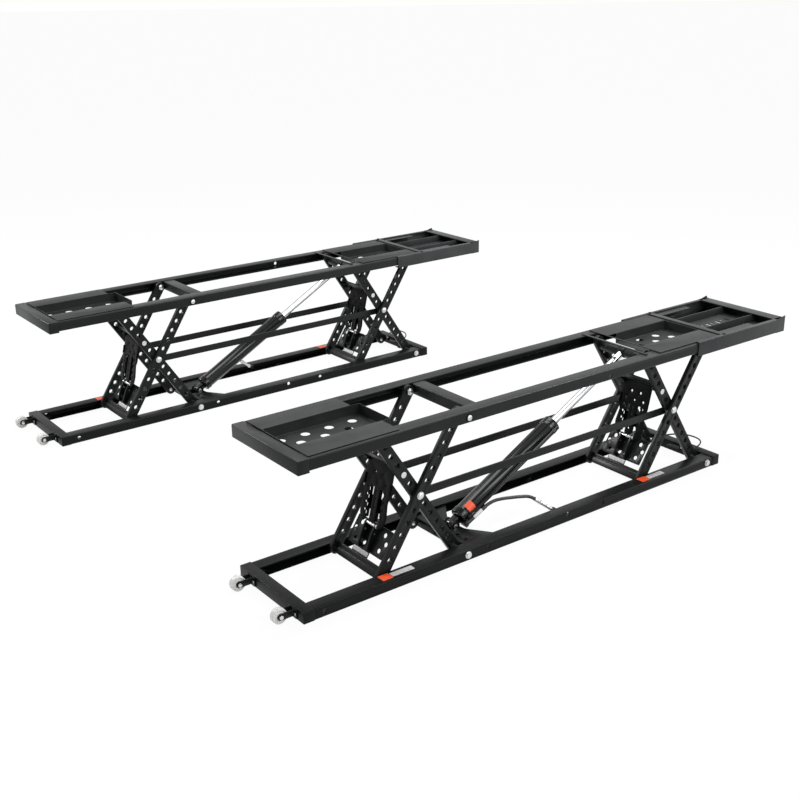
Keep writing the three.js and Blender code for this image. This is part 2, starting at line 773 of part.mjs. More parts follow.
// The cylinder's barrel in its own frame: foot pin at the origin, the bore along +x
function barrel() {
  const foot = join(
    rodAcross(0, 0, footEyeRadius, [midY - footEyeWidth / 2, midY + footEyeWidth / 2]),
    rodAcross(0, 0, footPinRadius, [midY - footPinReach, midY + footPinReach]),
    block([0, collarStart + weld], [midY - neckSize / 2, midY + neckSize / 2], [-neckSize / 2, neckSize / 2]),
  );
  const tubes = join(
    rodAlong(midY, 0, collarRadius, [collarStart, collarEnd]),
    rodAlong(midY, 0, barrelRadius, [collarEnd - weld, barrelEnd + weld]),
    rodAlong(midY, 0, glandRadius, [barrelEnd, glandEnd]),
  );
  const bore = join(
    rodAlong(midY, 0, boreRadius, [boreStart, barrelEnd]),
    rodAlong(midY, 0, rodRadius + fitGap, [barrelEnd - cutOver, glandEnd + cutOver]),
  );
  const pipe = rodAlong(midY - pipeSide, 0, pipeRadius, [collarEnd, pipeEnd], smallSides);
  const elbow = block(
    [elbowStart, elbowEnd], [midY - collarRadius - elbowReach, midY - neckSize / 2 + weld],
    [elbowBottom, elbowTop],
  );
  return join(cut(join(foot, tubes), bore), pipe, elbow);
}

// The rod in the barrel's frame, at the raised length
function cylinderRod() {
  const innerEnd = cylinderLength - rodInnerGap;
  return join(
    rodAlong(midY, 0, pistonRadius, span(innerEnd, pistonLength)),
    rodAlong(midY, 0, rodRadius, [innerEnd, cylinderLength]),
    rodAcross(cylinderLength, 0, rodEyeRadius, [midY - rodEyeWidth / 2, midY + rodEyeWidth / 2]),
  );
}

function casterFork(far) {
  const wheelInset = far ? innerWheelInset : outerWheelInset;
  const half = wheelWidth / 2 + forkGap;
  const arms = [[-half - forkThick, -half], [half, half + forkThick]].map(([a, b]) => {
    const y = [wheelInset + a, wheelInset + b];
    return join(
      rodAcross(-wheelReach, wheelHeight, forkArmHeight / 2, y),
      block([-wheelReach, -fitGap], y, [wheelHeight - forkArmHeight / 2, wheelHeight + forkArmHeight / 2]),
    );
  });
  const plate = block(
    [-fitGap - forkPlateThick, -fitGap],
    [wheelInset - forkPlateWidth / 2, wheelInset + forkPlateWidth / 2],
    [endBarHeight - forkPlateHeight - forkPlateThick, endBarHeight - forkPlateThick / 2],
  );
  const axleY = [wheelInset - half - forkThick, wheelInset + half + forkThick];
  const axle = rodAcross(-wheelReach, wheelHeight, axleRadius, axleY, smallSides);
  const fork = join(arms, plate, axle);
  return far ? flipAcross(fork) : fork;
}

function casterWheel(far) {
  const wheelInset = far ? innerWheelInset : outerWheelInset;
  const half = wheelWidth / 2;
  const profile = [
    [axleRadius + fitGap, -half + hubRecess], [hubRadius, -half + hubRecess], [hubRadius, -half],
    [wheelRadius - wheelCrown, -half], [wheelRadius, -half + wheelCrown], [wheelRadius, half - wheelCrown],
    [wheelRadius - wheelCrown, half], [hubRadius, half], [hubRadius, half - hubRecess],
    [axleRadius + fitGap, half - hubRecess], [axleRadius + fitGap, -half + hubRecess],
  ].map(([r, y]) => new THREE.Vector2(r, y));
  const tyre = new THREE.LatheGeometry(profile, wheelSides);
  tyre.translate(-wheelReach, wheelInset, wheelHeight);
  const wheel = solid(tyre);
  return far ? flipAcross(wheel) : wheel;
}

function toGeometry(body) {
  const mesh = body.getMesh();
  const geometry = new THREE.BufferGeometry();
  geometry.setAttribute('position', new THREE.BufferAttribute(new Float32Array(mesh.vertProperties), 3));
  geometry.setIndex(new THREE.BufferAttribute(new Uint32Array(mesh.triVerts), 1));
  return geometry;
}

// Mirrored across y, with the faces turned to keep pointing out
function mirrored(geometry, width = 0) {
  const turned = geometry.clone();
  turned.scale(1, -1, 1);
  turned.translate(0, width, 0);
  const index = turned.index.array;
  for (let i = 0; i < index.length; i += 3) [index[i], index[i + 1]] = [index[i + 1], index[i]];
  return turned;
}

const here = { x: 0, z: 0, turn: 0 };
function atBasePin(end) {
  return { x: pinXs[end], z: basePinHeight, turn: raisedAngle - Math.PI };
}
function atDeckPin(end) {
  return { x: pinXs[end], z: deckPinHeight, turn: Math.PI - raisedAngle };
}
function atLock(end) {
  return {
    x: pinXs[end] - lockPivotAlong * Math.cos(raisedAngle),
    z: basePinHeight + lockPivotAlong * Math.sin(raisedAngle),
    turn: Math.PI / 2 + lockLean,
  };
}
const atCylinder = { x: footX, z: footHeight, turn: -cylinderAngle };

// Every piece of one lift: name, solid, place and finish
const pieces = [
  ['base_frame', baseFrame(), here, blackPaint],
  ['platform_frame', platformFrame(), here, blackPaint],
  ['wheel_end_deck', wheelEndDeck(), here, deckPaint],
  ['ramp_end_deck', rampEndDeck(), here, deckPaint],
  ['ramp_end_pan', rampEndPan(), here, deckPaint],
  ['ramp', ramp(), here, deckPaint],
  ['cylinder_barrel', barrel(), atCylinder, glossBlack],
  ['cylinder_rod', cylinderRod(), atCylinder, chrome],
  ['hydraulic_hose', tube(hoseRoute, hoseRadius, hoseSides, hoseSteps), here, rubber],
  ['lock_release_cable', tube(cableRoute, cableRadius, cableSides, cableSteps), here, rubber],
];
for (const end of ['wheel_end', 'ramp_end']) {
  pieces.push([`${end}_base_arms`, baseArms(end), atBasePin(end), blackPaint]);
  pieces.push([`${end}_deck_arms`, deckArms(), atDeckPin(end), blackPaint]);
  pieces.push([`${end}_lock`, lockPawl(), atLock(end), blackPaint]);
}
for (const [side, far] of [['outer', false], ['inner', true]]) {
  pieces.push([`${side}_level_bar`, levelBar(far), here, blackPaint]);
  pieces.push([`${side}_caster_fork`, casterFork(far), here, blackPaint]);
  pieces.push([`${side}_caster_wheel`, casterWheel(far), here, nylon]);
  for (const end of ['wheel_end', 'ramp_end']) {
    const covered = end === 'ramp_end';
    pieces.push([`${end}_${side}_base_pin`, basePin(pinXs[end], far), here, zinc]);
    pieces.push([`${end}_${side}_deck_pin`, deckPin(pinXs[end], far, covered), here, zinc]);
  }
}

const leftmost = -wheelReach - wheelRadius - liftStagger;
const centre = [(leftmost + rampEnd) / 2, (liftSpacing + liftWidth) / 2];
const group = new THREE.Group();
for (const lift of [1, 2]) {
  const liftGroup = new THREE.Group();
  const second = lift === 2;
  liftGroup.position.set(
    (second ? -liftStagger : 0) - centre[0],
    (second ? liftSpacing + liftWidth : 0) - centre[1],
    0,
  );
  for (const [name, body, place, material] of pieces) {
    const geometry = toGeometry(body);
    const mesh = new THREE.Mesh(second ? mirrored(geometry) : geometry, material);
    mesh.name = `lift${lift}_${name}`;
    mesh.position.set(place.x, 0, place.z);
    mesh.rotation.y = place.turn;
    liftGroup.add(mesh);
  }
  group.add(liftGroup);
}

export default group;
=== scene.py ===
import math

import bmesh
import bpy
from mathutils import Matrix, Vector


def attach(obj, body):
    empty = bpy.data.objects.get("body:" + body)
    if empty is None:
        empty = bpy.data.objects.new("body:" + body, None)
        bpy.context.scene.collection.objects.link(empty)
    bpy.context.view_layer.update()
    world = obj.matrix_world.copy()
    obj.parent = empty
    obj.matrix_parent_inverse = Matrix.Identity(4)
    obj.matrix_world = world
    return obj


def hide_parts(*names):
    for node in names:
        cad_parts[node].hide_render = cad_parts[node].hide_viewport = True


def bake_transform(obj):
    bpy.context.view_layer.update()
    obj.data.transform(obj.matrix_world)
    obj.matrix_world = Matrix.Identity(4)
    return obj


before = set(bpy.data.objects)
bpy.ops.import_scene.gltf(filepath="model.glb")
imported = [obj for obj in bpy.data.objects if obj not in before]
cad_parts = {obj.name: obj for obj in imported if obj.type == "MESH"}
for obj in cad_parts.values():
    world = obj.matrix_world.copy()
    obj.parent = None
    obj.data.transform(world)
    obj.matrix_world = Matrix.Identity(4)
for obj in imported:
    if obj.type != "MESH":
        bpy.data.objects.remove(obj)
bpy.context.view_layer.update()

# All sizes are in millimetres on one lift
# x runs from its wheel end, y from its outer side and z from the floor
pair = {
    "width": 379, "spacing": 1798.6, "stagger": 37.8,
    "wheelTip": 77.5, "rampEnd": 2260, "endStep": 1210,
}
centreX = (pair["rampEnd"] - pair["wheelTip"] - pair["stagger"]) / 2
centreY = (pair["spacing"] + pair["width"]) / 2
midY = pair["width"] / 2


def placeOf(point, number=1):
    x, y, z = point
    if number == 2:
        x, y = x - pair["stagger"], pair["spacing"] + pair["width"] - y
    return ((x - centreX) / 1000, (y - centreY) / 1000, z / 1000)


# Camera, placed first; the routes of the cords were measured through it
cameraView = {
    "place": (-1560.2, -2599.2, 1841.4), "yaw": 36.61, "pitch": 20.45, "roll": -0.89,
    "lens": 52.15, "sensor": 36, "reach": 60,
}


def addCamera():
    yaw, pitch, roll = (math.radians(cameraView[k]) for k in ("yaw", "pitch", "roll"))
    ahead = Vector((math.sin(yaw) * math.cos(pitch), math.cos(yaw) * math.cos(pitch), -math.sin(pitch)))
    side = Vector((math.cos(yaw), -math.sin(yaw), 0))
    up = side.cross(ahead)
    right = side * math.cos(roll) + up * math.sin(roll)
    top = up * math.cos(roll) - side * math.sin(roll)
    data = bpy.data.cameras.new("studioCamera")
    data.lens = cameraView["lens"]
    data.sensor_width = cameraView["sensor"]
    data.clip_end = cameraView["reach"]
    camera = bpy.data.objects.new("studioCamera", data)
    turn = Matrix((right, top, -ahead)).transposed().to_4x4()
    camera.matrix_world = Matrix.Translation(placeOf(cameraView["place"])) @ turn
    bpy.context.scene.collection.objects.link(camera)
    bpy.context.scene.camera = camera


addCamera()
print("camera placed")


# Finishes, each with the slot that it goes by in the library
finishes = {
    "railPaint": {"slot": "black_paint", "kind": "paint", "colour": (0.007, 0.0078, 0.008),
                  "rough": 0.36, "grain": 0.16, "sheen": 0.17},
    "basePaint": {"slot": "black_paint", "kind": "paint", "colour": (0.0036, 0.0041, 0.0042),
                  "rough": 0.36, "grain": 0.16, "sheen": 0.12},
    "armPaint": {"slot": "black_paint", "kind": "paint", "colour": (0.0051, 0.0057, 0.006),
                 "rough": 0.34, "grain": 0.2, "sheen": 0.17},
    "lockPaint": {"slot": "black_paint", "kind": "paint", "colour": (0.0018, 0.002, 0.0021),
                  "rough": 0.42, "grain": 0.2, "sheen": 0.07},
    "deckPaint": {"slot": "deck_paint", "kind": "paint", "colour": (0.0132, 0.0138, 0.0142),
                  "rough": 0.48, "grain": 0.3, "sheen": 0.17},
    "rampPaint": {"slot": "deck_paint", "kind": "paint", "colour": (0.0235, 0.025, 0.0255),
                  "rough": 0.4, "grain": 0.22, "sheen": 0.17},
    "glossPaint": {"slot": "gloss_black", "kind": "paint", "colour": (0.004, 0.0045, 0.0045),
                   "rough": 0.16, "grain": 0.04, "sheen": 0.32},
    "chrome": {"slot": "chrome", "kind": "metal", "colour": (0.6, 0.61, 0.63),
               "rough": 0.07, "grain": 0.02},
    "zinc": {"slot": "zinc", "kind": "metal", "colour": (0.62, 0.63, 0.64),
             "rough": 0.3, "grain": 0.12},
    "nylon": {"slot": "white_nylon", "kind": "plastic", "colour": (0.6, 0.6, 0.585),
              "rough": 0.45, "grain": 0.12},
    "hoseRubber": {"slot": "hose_rubber", "kind": "plastic", "colour": (0.008, 0.008, 0.009),
                   "rough": 0.45, "grain": 0.35},
    "orangePatch": {"slot": "black_paint", "kind": "plastic", "colour": (0.75, 0.075, 0.015),
                    "rough": 0.45, "grain": 0.05},
    "greyPatch": {"slot": "black_paint", "kind": "plastic", "colour": (0.55, 0.54, 0.54),
                  "rough": 0.45, "grain": 0.05},
    "whitePatch": {"slot": "hose_rubber", "kind": "plastic", "colour": (0.62, 0.63, 0.63),
                   "rough": 0.4, "grain": 0.05},
}
kinds = {
    "paint": {"metallic": 0, "speckle": 1100},
    "metal": {"metallic": 1, "speckle": 700},
    "plastic": {"metallic": 0, "speckle": 700},
}
# Scales of the patterns and shares of the colour that all finishes have in common
surface = {
    "broadScale": 9, "broadDetail": 4, "smudgeScale": 34, "smudgeDetail": 5, "speckleDetail": 2,
    "tintFrom": 0.35, "tintTo": 0.65, "darkShare": 0.6, "smoothest": 0.85, "roughest": 1.2,
    "bumpLeast": 0.05, "bumpPerGrain": 0.5, "bumpDepth": 0.00012,
}


def makeFinish(name):
    looks = finishes[name]
    kind = kinds[looks["kind"]]
    material = bpy.data.materials.new(name)
    material.use_nodes = True
    nodes, links = material.node_tree.nodes, material.node_tree.links
    shader = nodes["Principled BSDF"]
    place = nodes.new("ShaderNodeTexCoord")

    def noise(scale, detail):
        texture = nodes.new("ShaderNodeTexNoise")
        texture.inputs["Scale"].default_value = scale
        texture.inputs["Detail"].default_value = detail
        links.new(place.outputs["Object"], texture.inputs["Vector"])
        return texture.outputs["Fac"]

    def ranged(source, low, high):
        span = nodes.new("ShaderNodeMapRange")
        span.inputs["To Min"].default_value = low
        span.inputs["To Max"].default_value = high
        links.new(source, span.inputs["Value"])
        return span.outputs["Result"]

    def tinted(source, low, high):
        tints = nodes.new("ShaderNodeValToRGB")
        first, last = tints.color_ramp.elements
        first.position, last.position = surface["tintFrom"], surface["tintTo"]
        first.color, last.color = (*low, 1), (*high, 1)
        links.new(source, tints.inputs["Fac"])
        return tints.outputs["Color"]

    colour, grain, rough = looks["colour"], looks["grain"], looks["rough"]
    paler = tuple(min(1, c * (1 + grain)) for c in colour)
    darker = tuple(c * (1 - grain * surface["darkShare"]) for c in colour)
    broad = noise(surface["broadScale"], surface["broadDetail"])
    speckle = noise(kind["speckle"], surface["speckleDetail"])
    smudge = noise(surface["smudgeScale"], surface["smudgeDetail"])
    roughness = ranged(smudge, rough * surface["smoothest"], min(1, rough * surface["roughest"]))
    links.new(tinted(broad, darker, paler), shader.inputs["Base Color"])
    links.new(roughness, shader.inputs["Roughness"])
    shader.inputs["Metallic"].default_value = kind["metallic"]
    bump = nodes.new("ShaderNodeBump")
    bump.inputs["Strength"].default_value = surface["bumpLeast"] + grain * surface["bumpPerGrain"]
    bump.inputs["Distance"].default_value = surface["bumpDepth"]
    links.new(speckle, bump.inputs["Height"])
    links.new(bump.outputs["Normal"], shader.inputs["Normal"])
    if "sheen" in looks:
        shader.inputs["Specular IOR Level"].default_value = looks["sheen"]
    return material


madeFinishes = {name: makeFinish(name) for name in finishes}
print("finishes made")


# Shaping helpers
# Edges that turn by more than these degrees are rounded, or kept crisp in the shading
turnAbove = {"box": 50, "rod": 40, "plate": 60, "pan": 70, "crisp": 34}


def rectangle(a, b):
    return [(a[0], b[0]), (a[1], b[0]), (a[1], b[1]), (a[0], b[1])]


def allFour(radius):
    return {i: radius for i in range(4)}


def takeIn(shape, part):
    mesh = bpy.data.meshes.new("part")
    part.to_mesh(mesh)
    shape.from_mesh(mesh)
    bpy.data.meshes.remove(mesh)
    part.free()


def softenEdges(shape, width, steps, above):
    edges = [e for e in shape.edges if e.is_manifold and math.degrees(e.calc_face_angle(0)) > above]
    if width and edges:
        bmesh.ops.bevel(shape, geom=edges, offset=width, offset_type="OFFSET", segments=steps, profile=0.5,
                        affect="EDGES", clamp_overlap=True, material=-1)


def addBox(shape, x, y, z, rim=0.8, steps=2):
    part = bmesh.new()
    bmesh.ops.create_cube(part, size=1)
    bmesh.ops.scale(part, vec=(x[1] - x[0], y[1] - y[0], z[1] - z[0]), verts=part.verts)
    middle = ((x[0] + x[1]) / 2, (y[0] + y[1]) / 2, (z[0] + z[1]) / 2)
    bmesh.ops.translate(part, vec=middle, verts=part.verts)
    softenEdges(part, rim, steps, turnAbove["box"])
    takeIn(shape, part)


def addRod(shape, start, end, radius, sides=32, rim=0.6):
    start, end = Vector(start), Vector(end)
    part = bmesh.new()
    bmesh.ops.create_cone(part, cap_ends=True, segments=sides, radius1=radius, radius2=radius,
                          depth=(end - start).length)
    softenEdges(part, rim, 2, turnAbove["rod" if sides > 8 else "box"])
    turn = (end - start).to_track_quat("Z", "Y").to_matrix().to_4x4()
    bmesh.ops.transform(part, matrix=Matrix.Translation((start + end) / 2) @ turn, verts=part.verts)
    takeIn(shape, part)


def addAxle(shape, x, z, y, radius, sides=24, rim=0.6):
    addRod(shape, (x, y[0], z), (x, y[1], z), radius, sides, rim)


# A plate is an outline in one of these planes, grown across it
planes = {
    "xy": Matrix(((1, 0, 0, 0), (0, 1, 0, 0), (0, 0, 1, 0), (0, 0, 0, 1))),
    "xz": Matrix(((1, 0, 0, 0), (0, 0, 1, 0), (0, 1, 0, 0), (0, 0, 0, 1))),
    "yz": Matrix(((0, 0, 1, 0), (1, 0, 0, 0), (0, 1, 0, 0), (0, 0, 0, 1))),
}


# A hole is its place, its radius and maybe its sides; corners gives a radius for each rounded corner
def addPlate(shape, outline, span, plane, holes=(), rim=0.6, corners=None, steps=6):
    part = bmesh.new()
    points = [part.verts.new((a, b, 0)) for a, b in outline]
    part.faces.new(points)
    for radius in sorted(set((corners or {}).values())):
        places = [Vector((*outline[i], 0)) for i, r in corners.items() if r == radius]
        picked = [v for v in part.verts if any((v.co - p).length < 0.001 for p in places)]
        bmesh.ops.bevel(part, geom=picked, offset=radius, offset_type="OFFSET", segments=steps, profile=0.5,
                        affect="VERTICES", clamp_overlap=True, material=-1)
    if holes:
        bmesh.ops.delete(part, geom=part.faces[:], context="FACES_ONLY")
        for a, b, radius, *sides in holes:
            bmesh.ops.create_circle(part, cap_ends=False, radius=radius, segments=sides[0] if sides else 28,
                                    matrix=Matrix.Translation((a, b, 0)))
        bmesh.ops.triangle_fill(part, use_beauty=True, edges=part.edges[:])
    grown = bmesh.ops.extrude_face_region(part, geom=part.faces[:])
    bmesh.ops.translate(part, vec=(0, 0, span[1] - span[0]),
                        verts=[v for v in grown["geom"] if isinstance(v, bmesh.types.BMVert)])
    bmesh.ops.translate(part, vec=(0, 0, span[0]), verts=part.verts)
    bmesh.ops.recalc_face_normals(part, faces=part.faces[:])
    softenEdges(part, rim, 2, turnAbove["plate"])
    bmesh.ops.transform(part, matrix=planes[plane], verts=part.verts)
    bmesh.ops.recalc_face_normals(part, faces=part.faces[:])
    takeIn(shape, part)


# The profile is radius and place along the axis
def addLathe(shape, profile, place, axis=(0, 1, 0), steps=48):
    part = bmesh.new()
    axis = Vector(axis).normalized()
    side = Vector((0, 0, 1)) if abs(axis.z) < 0.9 else Vector((1, 0, 0))
    side = (side - axis * side.dot(axis)).normalized()
    points = [part.verts.new(axis * h + side * r) for r, h in profile]
    edges = [part.edges.new((a, b)) for a, b in zip(points, points[1:])]
    bmesh.ops.spin(part, geom=points + edges, cent=(0, 0, 0), axis=axis, dvec=(0, 0, 0), angle=2 * math.pi,
                   steps=steps, use_merge=True, use_duplicate=False)
    bmesh.ops.remove_doubles(part, verts=part.verts, dist=0.001)
    bmesh.ops.recalc_face_normals(part, faces=part.faces[:])
    bmesh.ops.translate(part, vec=place, verts=part.verts)
    takeIn(shape, part)


def addHex(shape, place, way, flats, thick, rim=0.7):
    place, way = Vector(place), Vector(way).normalized()
    addRod(shape, place, place + way * thick, flats / math.sqrt(3), 6, rim)


# A smooth curve through all points of a route
def smoothPath(route, steps=8):
    points = [Vector(p) for p in route]
    path = []
    for i in range(len(points) - 1):
        before, a = points[max(i - 1, 0)], points[i]
        b, after = points[i + 1], points[min(i + 2, len(points) - 1)]
        for k in range(steps):
            t = k / steps
            path.append(0.5 * (2 * a + (b - before) * t + (2 * before - 5 * a + 4 * b - after) * t * t
                               + (3 * a - before - 3 * b + after) * t ** 3))
    return path + [points[-1]]


def addTube(shape, route, radius, sides=20):
    path = smoothPath(route)
    turns = [2 * math.pi * k / sides for k in range(sides)]
    part = bmesh.new()
    rings = []
    normal = (path[1] - path[0]).orthogonal()
    for i, place in enumerate(path):
        ahead = (path[min(i + 1, len(path) - 1)] - path[max(i - 1, 0)]).normalized()
        normal = (normal - ahead * normal.dot(ahead)).normalized()
        side = ahead.cross(normal)
        around = [place + (normal * math.cos(t) + side * math.sin(t)) * radius for t in turns]
        rings.append([part.verts.new(point) for point in around])
    for a, b in zip(rings, rings[1:]):
        for k in range(sides):
            part.faces.new((a[k - 1], a[k], b[k], b[k - 1]))
    part.faces.new(rings[0])
    part.faces.new(rings[-1])
    bmesh.ops.recalc_face_normals(part, faces=part.faces[:])
    takeIn(shape, part)


def mirrorAcross(shape, shift=(0, pair["width"], 0)):
    copy = shape.copy()
    bmesh.ops.scale(copy, vec=(1, -1, 1), verts=copy.verts)
    bmesh.ops.translate(copy, vec=shift, verts=copy.verts)
    bmesh.ops.reverse_faces(copy, faces=copy.faces[:])
    return copy


# What make adds on the outer side is also added, mirrored, on the inner side
def bothSides(shape, make):
    one = bmesh.new()
    make(one)
    other = mirrorAcross(one)
    takeIn(shape, one)
    takeIn(shape, other)


# Turns a shape about its start and moves that start to x and z
def turnTo(shape, x, z, degrees):
    matrix = Matrix.Translation((x, 0, z)) @ Matrix.Rotation(math.radians(degrees), 4, "Y")
    bmesh.ops.transform(shape, matrix=matrix, verts=shape.verts)


def cutBy(shape, tools):
    body = bpy.data.objects.new("body", bpy.data.meshes.new("body"))
    tool = bpy.data.objects.new("tool", bpy.data.meshes.new("tool"))
    shape.to_mesh(body.data)
    tools.to_mesh(tool.data)
    tools.free()
    for item in (body, tool):
        bpy.context.scene.collection.objects.link(item)
    cutter = body.modifiers.new("cut", "BOOLEAN")
    cutter.operation, cutter.solver, cutter.object = "DIFFERENCE", "EXACT", tool
    mesh = bpy.data.meshes.new_from_object(body.evaluated_get(bpy.context.evaluated_depsgraph_get()))
    shape.clear()
    shape.from_mesh(mesh)
    bpy.data.objects.remove(body)
    bpy.data.objects.remove(tool)


def drill(shape, holes):
    tools = bmesh.new()
    for start, end, radius in holes:
        addRod(tools, start, end, radius, 28, 0)
    cutBy(shape, tools)


# Every piece is made once, then placed on both lifts, of which the second is the mirror image
def finishPiece(name, shape, finish, body, nodes=(), after=None):
    pieces = []
    for number in (1, 2):
        if number == 1:
            copy = shape.copy()
        else:
            copy = mirrorAcross(shape, (-pair["stagger"], pair["spacing"] + pair["width"], 0))
        bmesh.ops.translate(copy, vec=(-centreX, -centreY, 0), verts=copy.verts)
        bmesh.ops.scale(copy, vec=(0.001, 0.001, 0.001), verts=copy.verts)
        for face in copy.faces:
            face.smooth = True
        for edge in copy.edges:
            edge.smooth = not edge.is_manifold or math.degrees(edge.calc_face_angle(0)) < turnAbove["crisp"]
        mesh = bpy.data.meshes.new(f"lift{number}.{name}")
        copy.to_mesh(mesh)
        copy.free()
        mesh.materials.append(madeFinishes[finish])
        piece = bpy.data.objects.new(f"lift{number}.{name}", mesh)
        bpy.context.scene.collection.objects.link(piece)
        if nodes:
            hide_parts(*[f"lift{number}_{node}" for node in nodes])
        if after:
            after(piece, number)
        else:
            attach(piece, body if body == "base_frames" else f"lift{number}_{body}")
        pieces.append(piece)
    shape.free()
    return pieces


# A piece of the inner side is the outer one mirrored
def finishSide(side, name, shape, finish, body, nodes=()):
    if side == "inner":
        whole = mirrorAcross(shape)
        shape.free()
        shape = whole
    finishPiece(name, shape, finish, body, nodes)


# Hose and release cable, before the other pieces
hose = {
    "radius": 6, "length": 355.2, "sleeveRadius": 7.6, "patchRadius": 7.9,
    "bend": ((780, 150, 49), (1030, 74, 74)),
    "route": [
        (766, 150, 41.5), (776, 150, 47), (793, 149.5, 56), (810, 148.5, 65), (828, 147.8, 75),
        (846, 147, 84.5), (877, 140, 97), (906, 128, 101.5), (935, 115, 102), (965, 102, 101.5),
        (994, 90, 98), (1016, 80.5, 86), (1034, 72.5, 71), (1056, 65, 53), (1072, 60.5, 40),
    ],
    "sleevePoints": (0, 6), "patchPoints": (2, 5), "fittingPoints": (11, 13),
}
hoseFitting = {
    "ferrule": 8, "nutAt": 0.45, "nutFlats": 15, "nutThick": 9, "stem": 6.8, "stemAt": 0.6,
    "plug": 6.5, "plugEnd": (1079, 59, 34), "plugNut": (1071, 61, 41), "plugWay": (8, -2, -7),
    "plugFlats": 14, "plugThick": 8,
}
cable = {
    "radius": 3, "length": 333,
    "route": [
        (1860, 133.7, 41), (1860.5, 124, 41.2), (1864, 113.5, 42), (1871.5, 104, 43.2), (1882, 96.5, 45),
        (1894, 91.5, 47.5), (1907, 89.5, 50.5), (1920, 91.5, 54), (1931.5, 98, 57.5), (1939.5, 108.5, 60),
        (1944, 122, 61.5), (1945.5, 138, 62), (1944, 155, 62.2), (1939.5, 174, 62), (1931, 192, 61.5),
        (1919, 208, 60.3), (1904, 222, 58.5), (1887, 235, 56), (1870.5, 246.5, 52.5), (1856.5, 256, 48.5),
        (1843, 264, 44.5), (1828.3, 269, 41.3),
    ],
    "ferrule": 4.4, "nutFlats": 11, "nutThick": 3.5,
    "ends": (
        {"tip": (1860, 133.8, 41), "back": (1860.3, 126, 41.2), "way": (0, -1, 0)},
        {"tip": (1827, 269.3, 41.1), "back": (1834.5, 267, 42.6), "way": (1, -0.2, 0.1)},
    ),
}


def makeHose():
    def bend(piece, number):
        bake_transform(piece)

    route = hose["route"]
    tube = bmesh.new()
    addTube(tube, route, hose["radius"])
    tubes = finishPiece("hose", tube, "hoseRubber", None, ["hydraulic_hose"], after=bend)
    sleeve = bmesh.new()
    addTube(sleeve, route[slice(*hose["sleevePoints"])], hose["sleeveRadius"])
    patch = bmesh.new()
    addTube(patch, route[slice(*hose["patchPoints"])], hose["patchRadius"])
    fitting = bmesh.new()
    size = hoseFitting
    start, end = (Vector(route[i]) for i in hose["fittingPoints"])
    nutAt = start.lerp(end, size["nutAt"])
    addRod(fitting, start, nutAt, size["ferrule"], rim=1)
    addHex(fitting, nutAt, end - start, size["nutFlats"], size["nutThick"])
    addRod(fitting, start.lerp(end, size["stemAt"]), end, size["stem"], sides=24)
    addRod(fitting, end, size["plugEnd"], size["plug"], sides=24)
    addHex(fitting, size["plugNut"], size["plugWay"], size["plugFlats"], size["plugThick"])
    extras = [finishPiece("hoseSleeve", sleeve, "hoseRubber", None, after=bend),
              finishPiece("hosePatch", patch, "whitePatch", None, after=bend),
              finishPiece("hoseFitting", fitting, "zinc", None, after=bend)]


def makeCable():
    tube = bmesh.new()
    addTube(tube, cable["route"], cable["radius"])
    tubes = finishPiece("releaseCable", tube, "hoseRubber", "base_frames", ["lock_release_cable"])
    shape = bmesh.new()
    for end in cable["ends"]:
        addRod(shape, end["tip"], end["back"], cable["ferrule"], sides=24)
        addHex(shape, end["tip"], end["way"], cable["nutFlats"], cable["nutThick"])
    ferrules = finishPiece("cableEnds", shape, "zinc", "base_frames")


makeHose()
makeCable()
print("hose and cable made")


# Base frame: two channels and two end bars
base = {
    "length": 1924, "railWidth": 50, "railHeight": 38, "wall": 3, "bend": 4, "innerBend": 1.5,
    "endBar": 40, "endBarLap": 1.5, "endBarRim": 2.2, "railLap": 0.5,
    "pins": (644, 1854), "pinHeight": 22, "pinHole": 8.6, "holeRadius": 7.5,
    "holes": ((76, 21), (732, 25), (1102, 30), (1277, 26)), "drillFrom": -5, "drillTo": 8,
}
cylinderFoot = {
    "plateX": (668, 747), "plateY": (48, 331), "plateZ": (0.5, 6),
    "earsY": (165, 206), "earThick": 8, "earX": (709, 745), "earZ": (1, 53), "earRound": 17.5,
    "bore": (727, 35, 8.4), "gussetZ": (26, 30), "gussetHoles": [(700, 80, 7), (700, 125, 7)],
    "gusset": [(668, 46), (817, 46), (748, 143), (747, 165.5), (668, 165.5)],
    "rib": ((668, 672), (49, 165.5), (5.5, 30)),
}
baseTabs = {
    "hoseBlock": ((1078, 1094), (49.5, 68), (24, 37.5)),
    "shelves": (((1846, 1885), (130, 200)), ((1820, 1885), (262, 286))), "shelfZ": (31, 35),
    "uprightZ": (33, 47),
    "uprights": (("xz", (1854, 1866), (134, 138)), ("yz", (263, 275), (1822.8, 1826.8))),
}


def channel(wall, across, heights):
    (near, far), (low, high) = across, heights
    return [(near, low), (far, low), (far, low + wall), (near + wall, low + wall),
            (near + wall, high - wall), (far, high - wall), (far, high), (near, high)]


def addRail(shape, size, heights, span, rim):
    bend, inner = size["bend"], size["innerBend"]
    addPlate(shape, channel(size["wall"], (0, size["railWidth"]), heights), span, "yz", rim=rim,
             corners={0: bend, 7: bend, 3: inner, 4: inner})


def drillWeb(rail, holes, y=(base["drillFrom"], base["drillTo"])):
    drill(rail, [((x, y[0], z), (x, y[1], z), radius) for x, z, radius in holes])


def addCylinderFoot(shape):
    foot = cylinderFoot
    addPlate(shape, rectangle(foot["plateX"], foot["plateY"]), foot["plateZ"], "xy", rim=0.7)
    for y in foot["earsY"]:
        addPlate(shape, rectangle(foot["earX"], foot["earZ"]), (y, y + foot["earThick"]), "xz", rim=0.8,
                 holes=[foot["bore"]], corners={2: foot["earRound"], 3: foot["earRound"]}, steps=10)

    def gussets(part):
        addPlate(part, foot["gusset"], foot["gussetZ"], "xy", rim=0.8, corners={1: 8, 2: 10},
                 holes=foot["gussetHoles"])
        addBox(part, *foot["rib"])
    bothSides(shape, gussets)


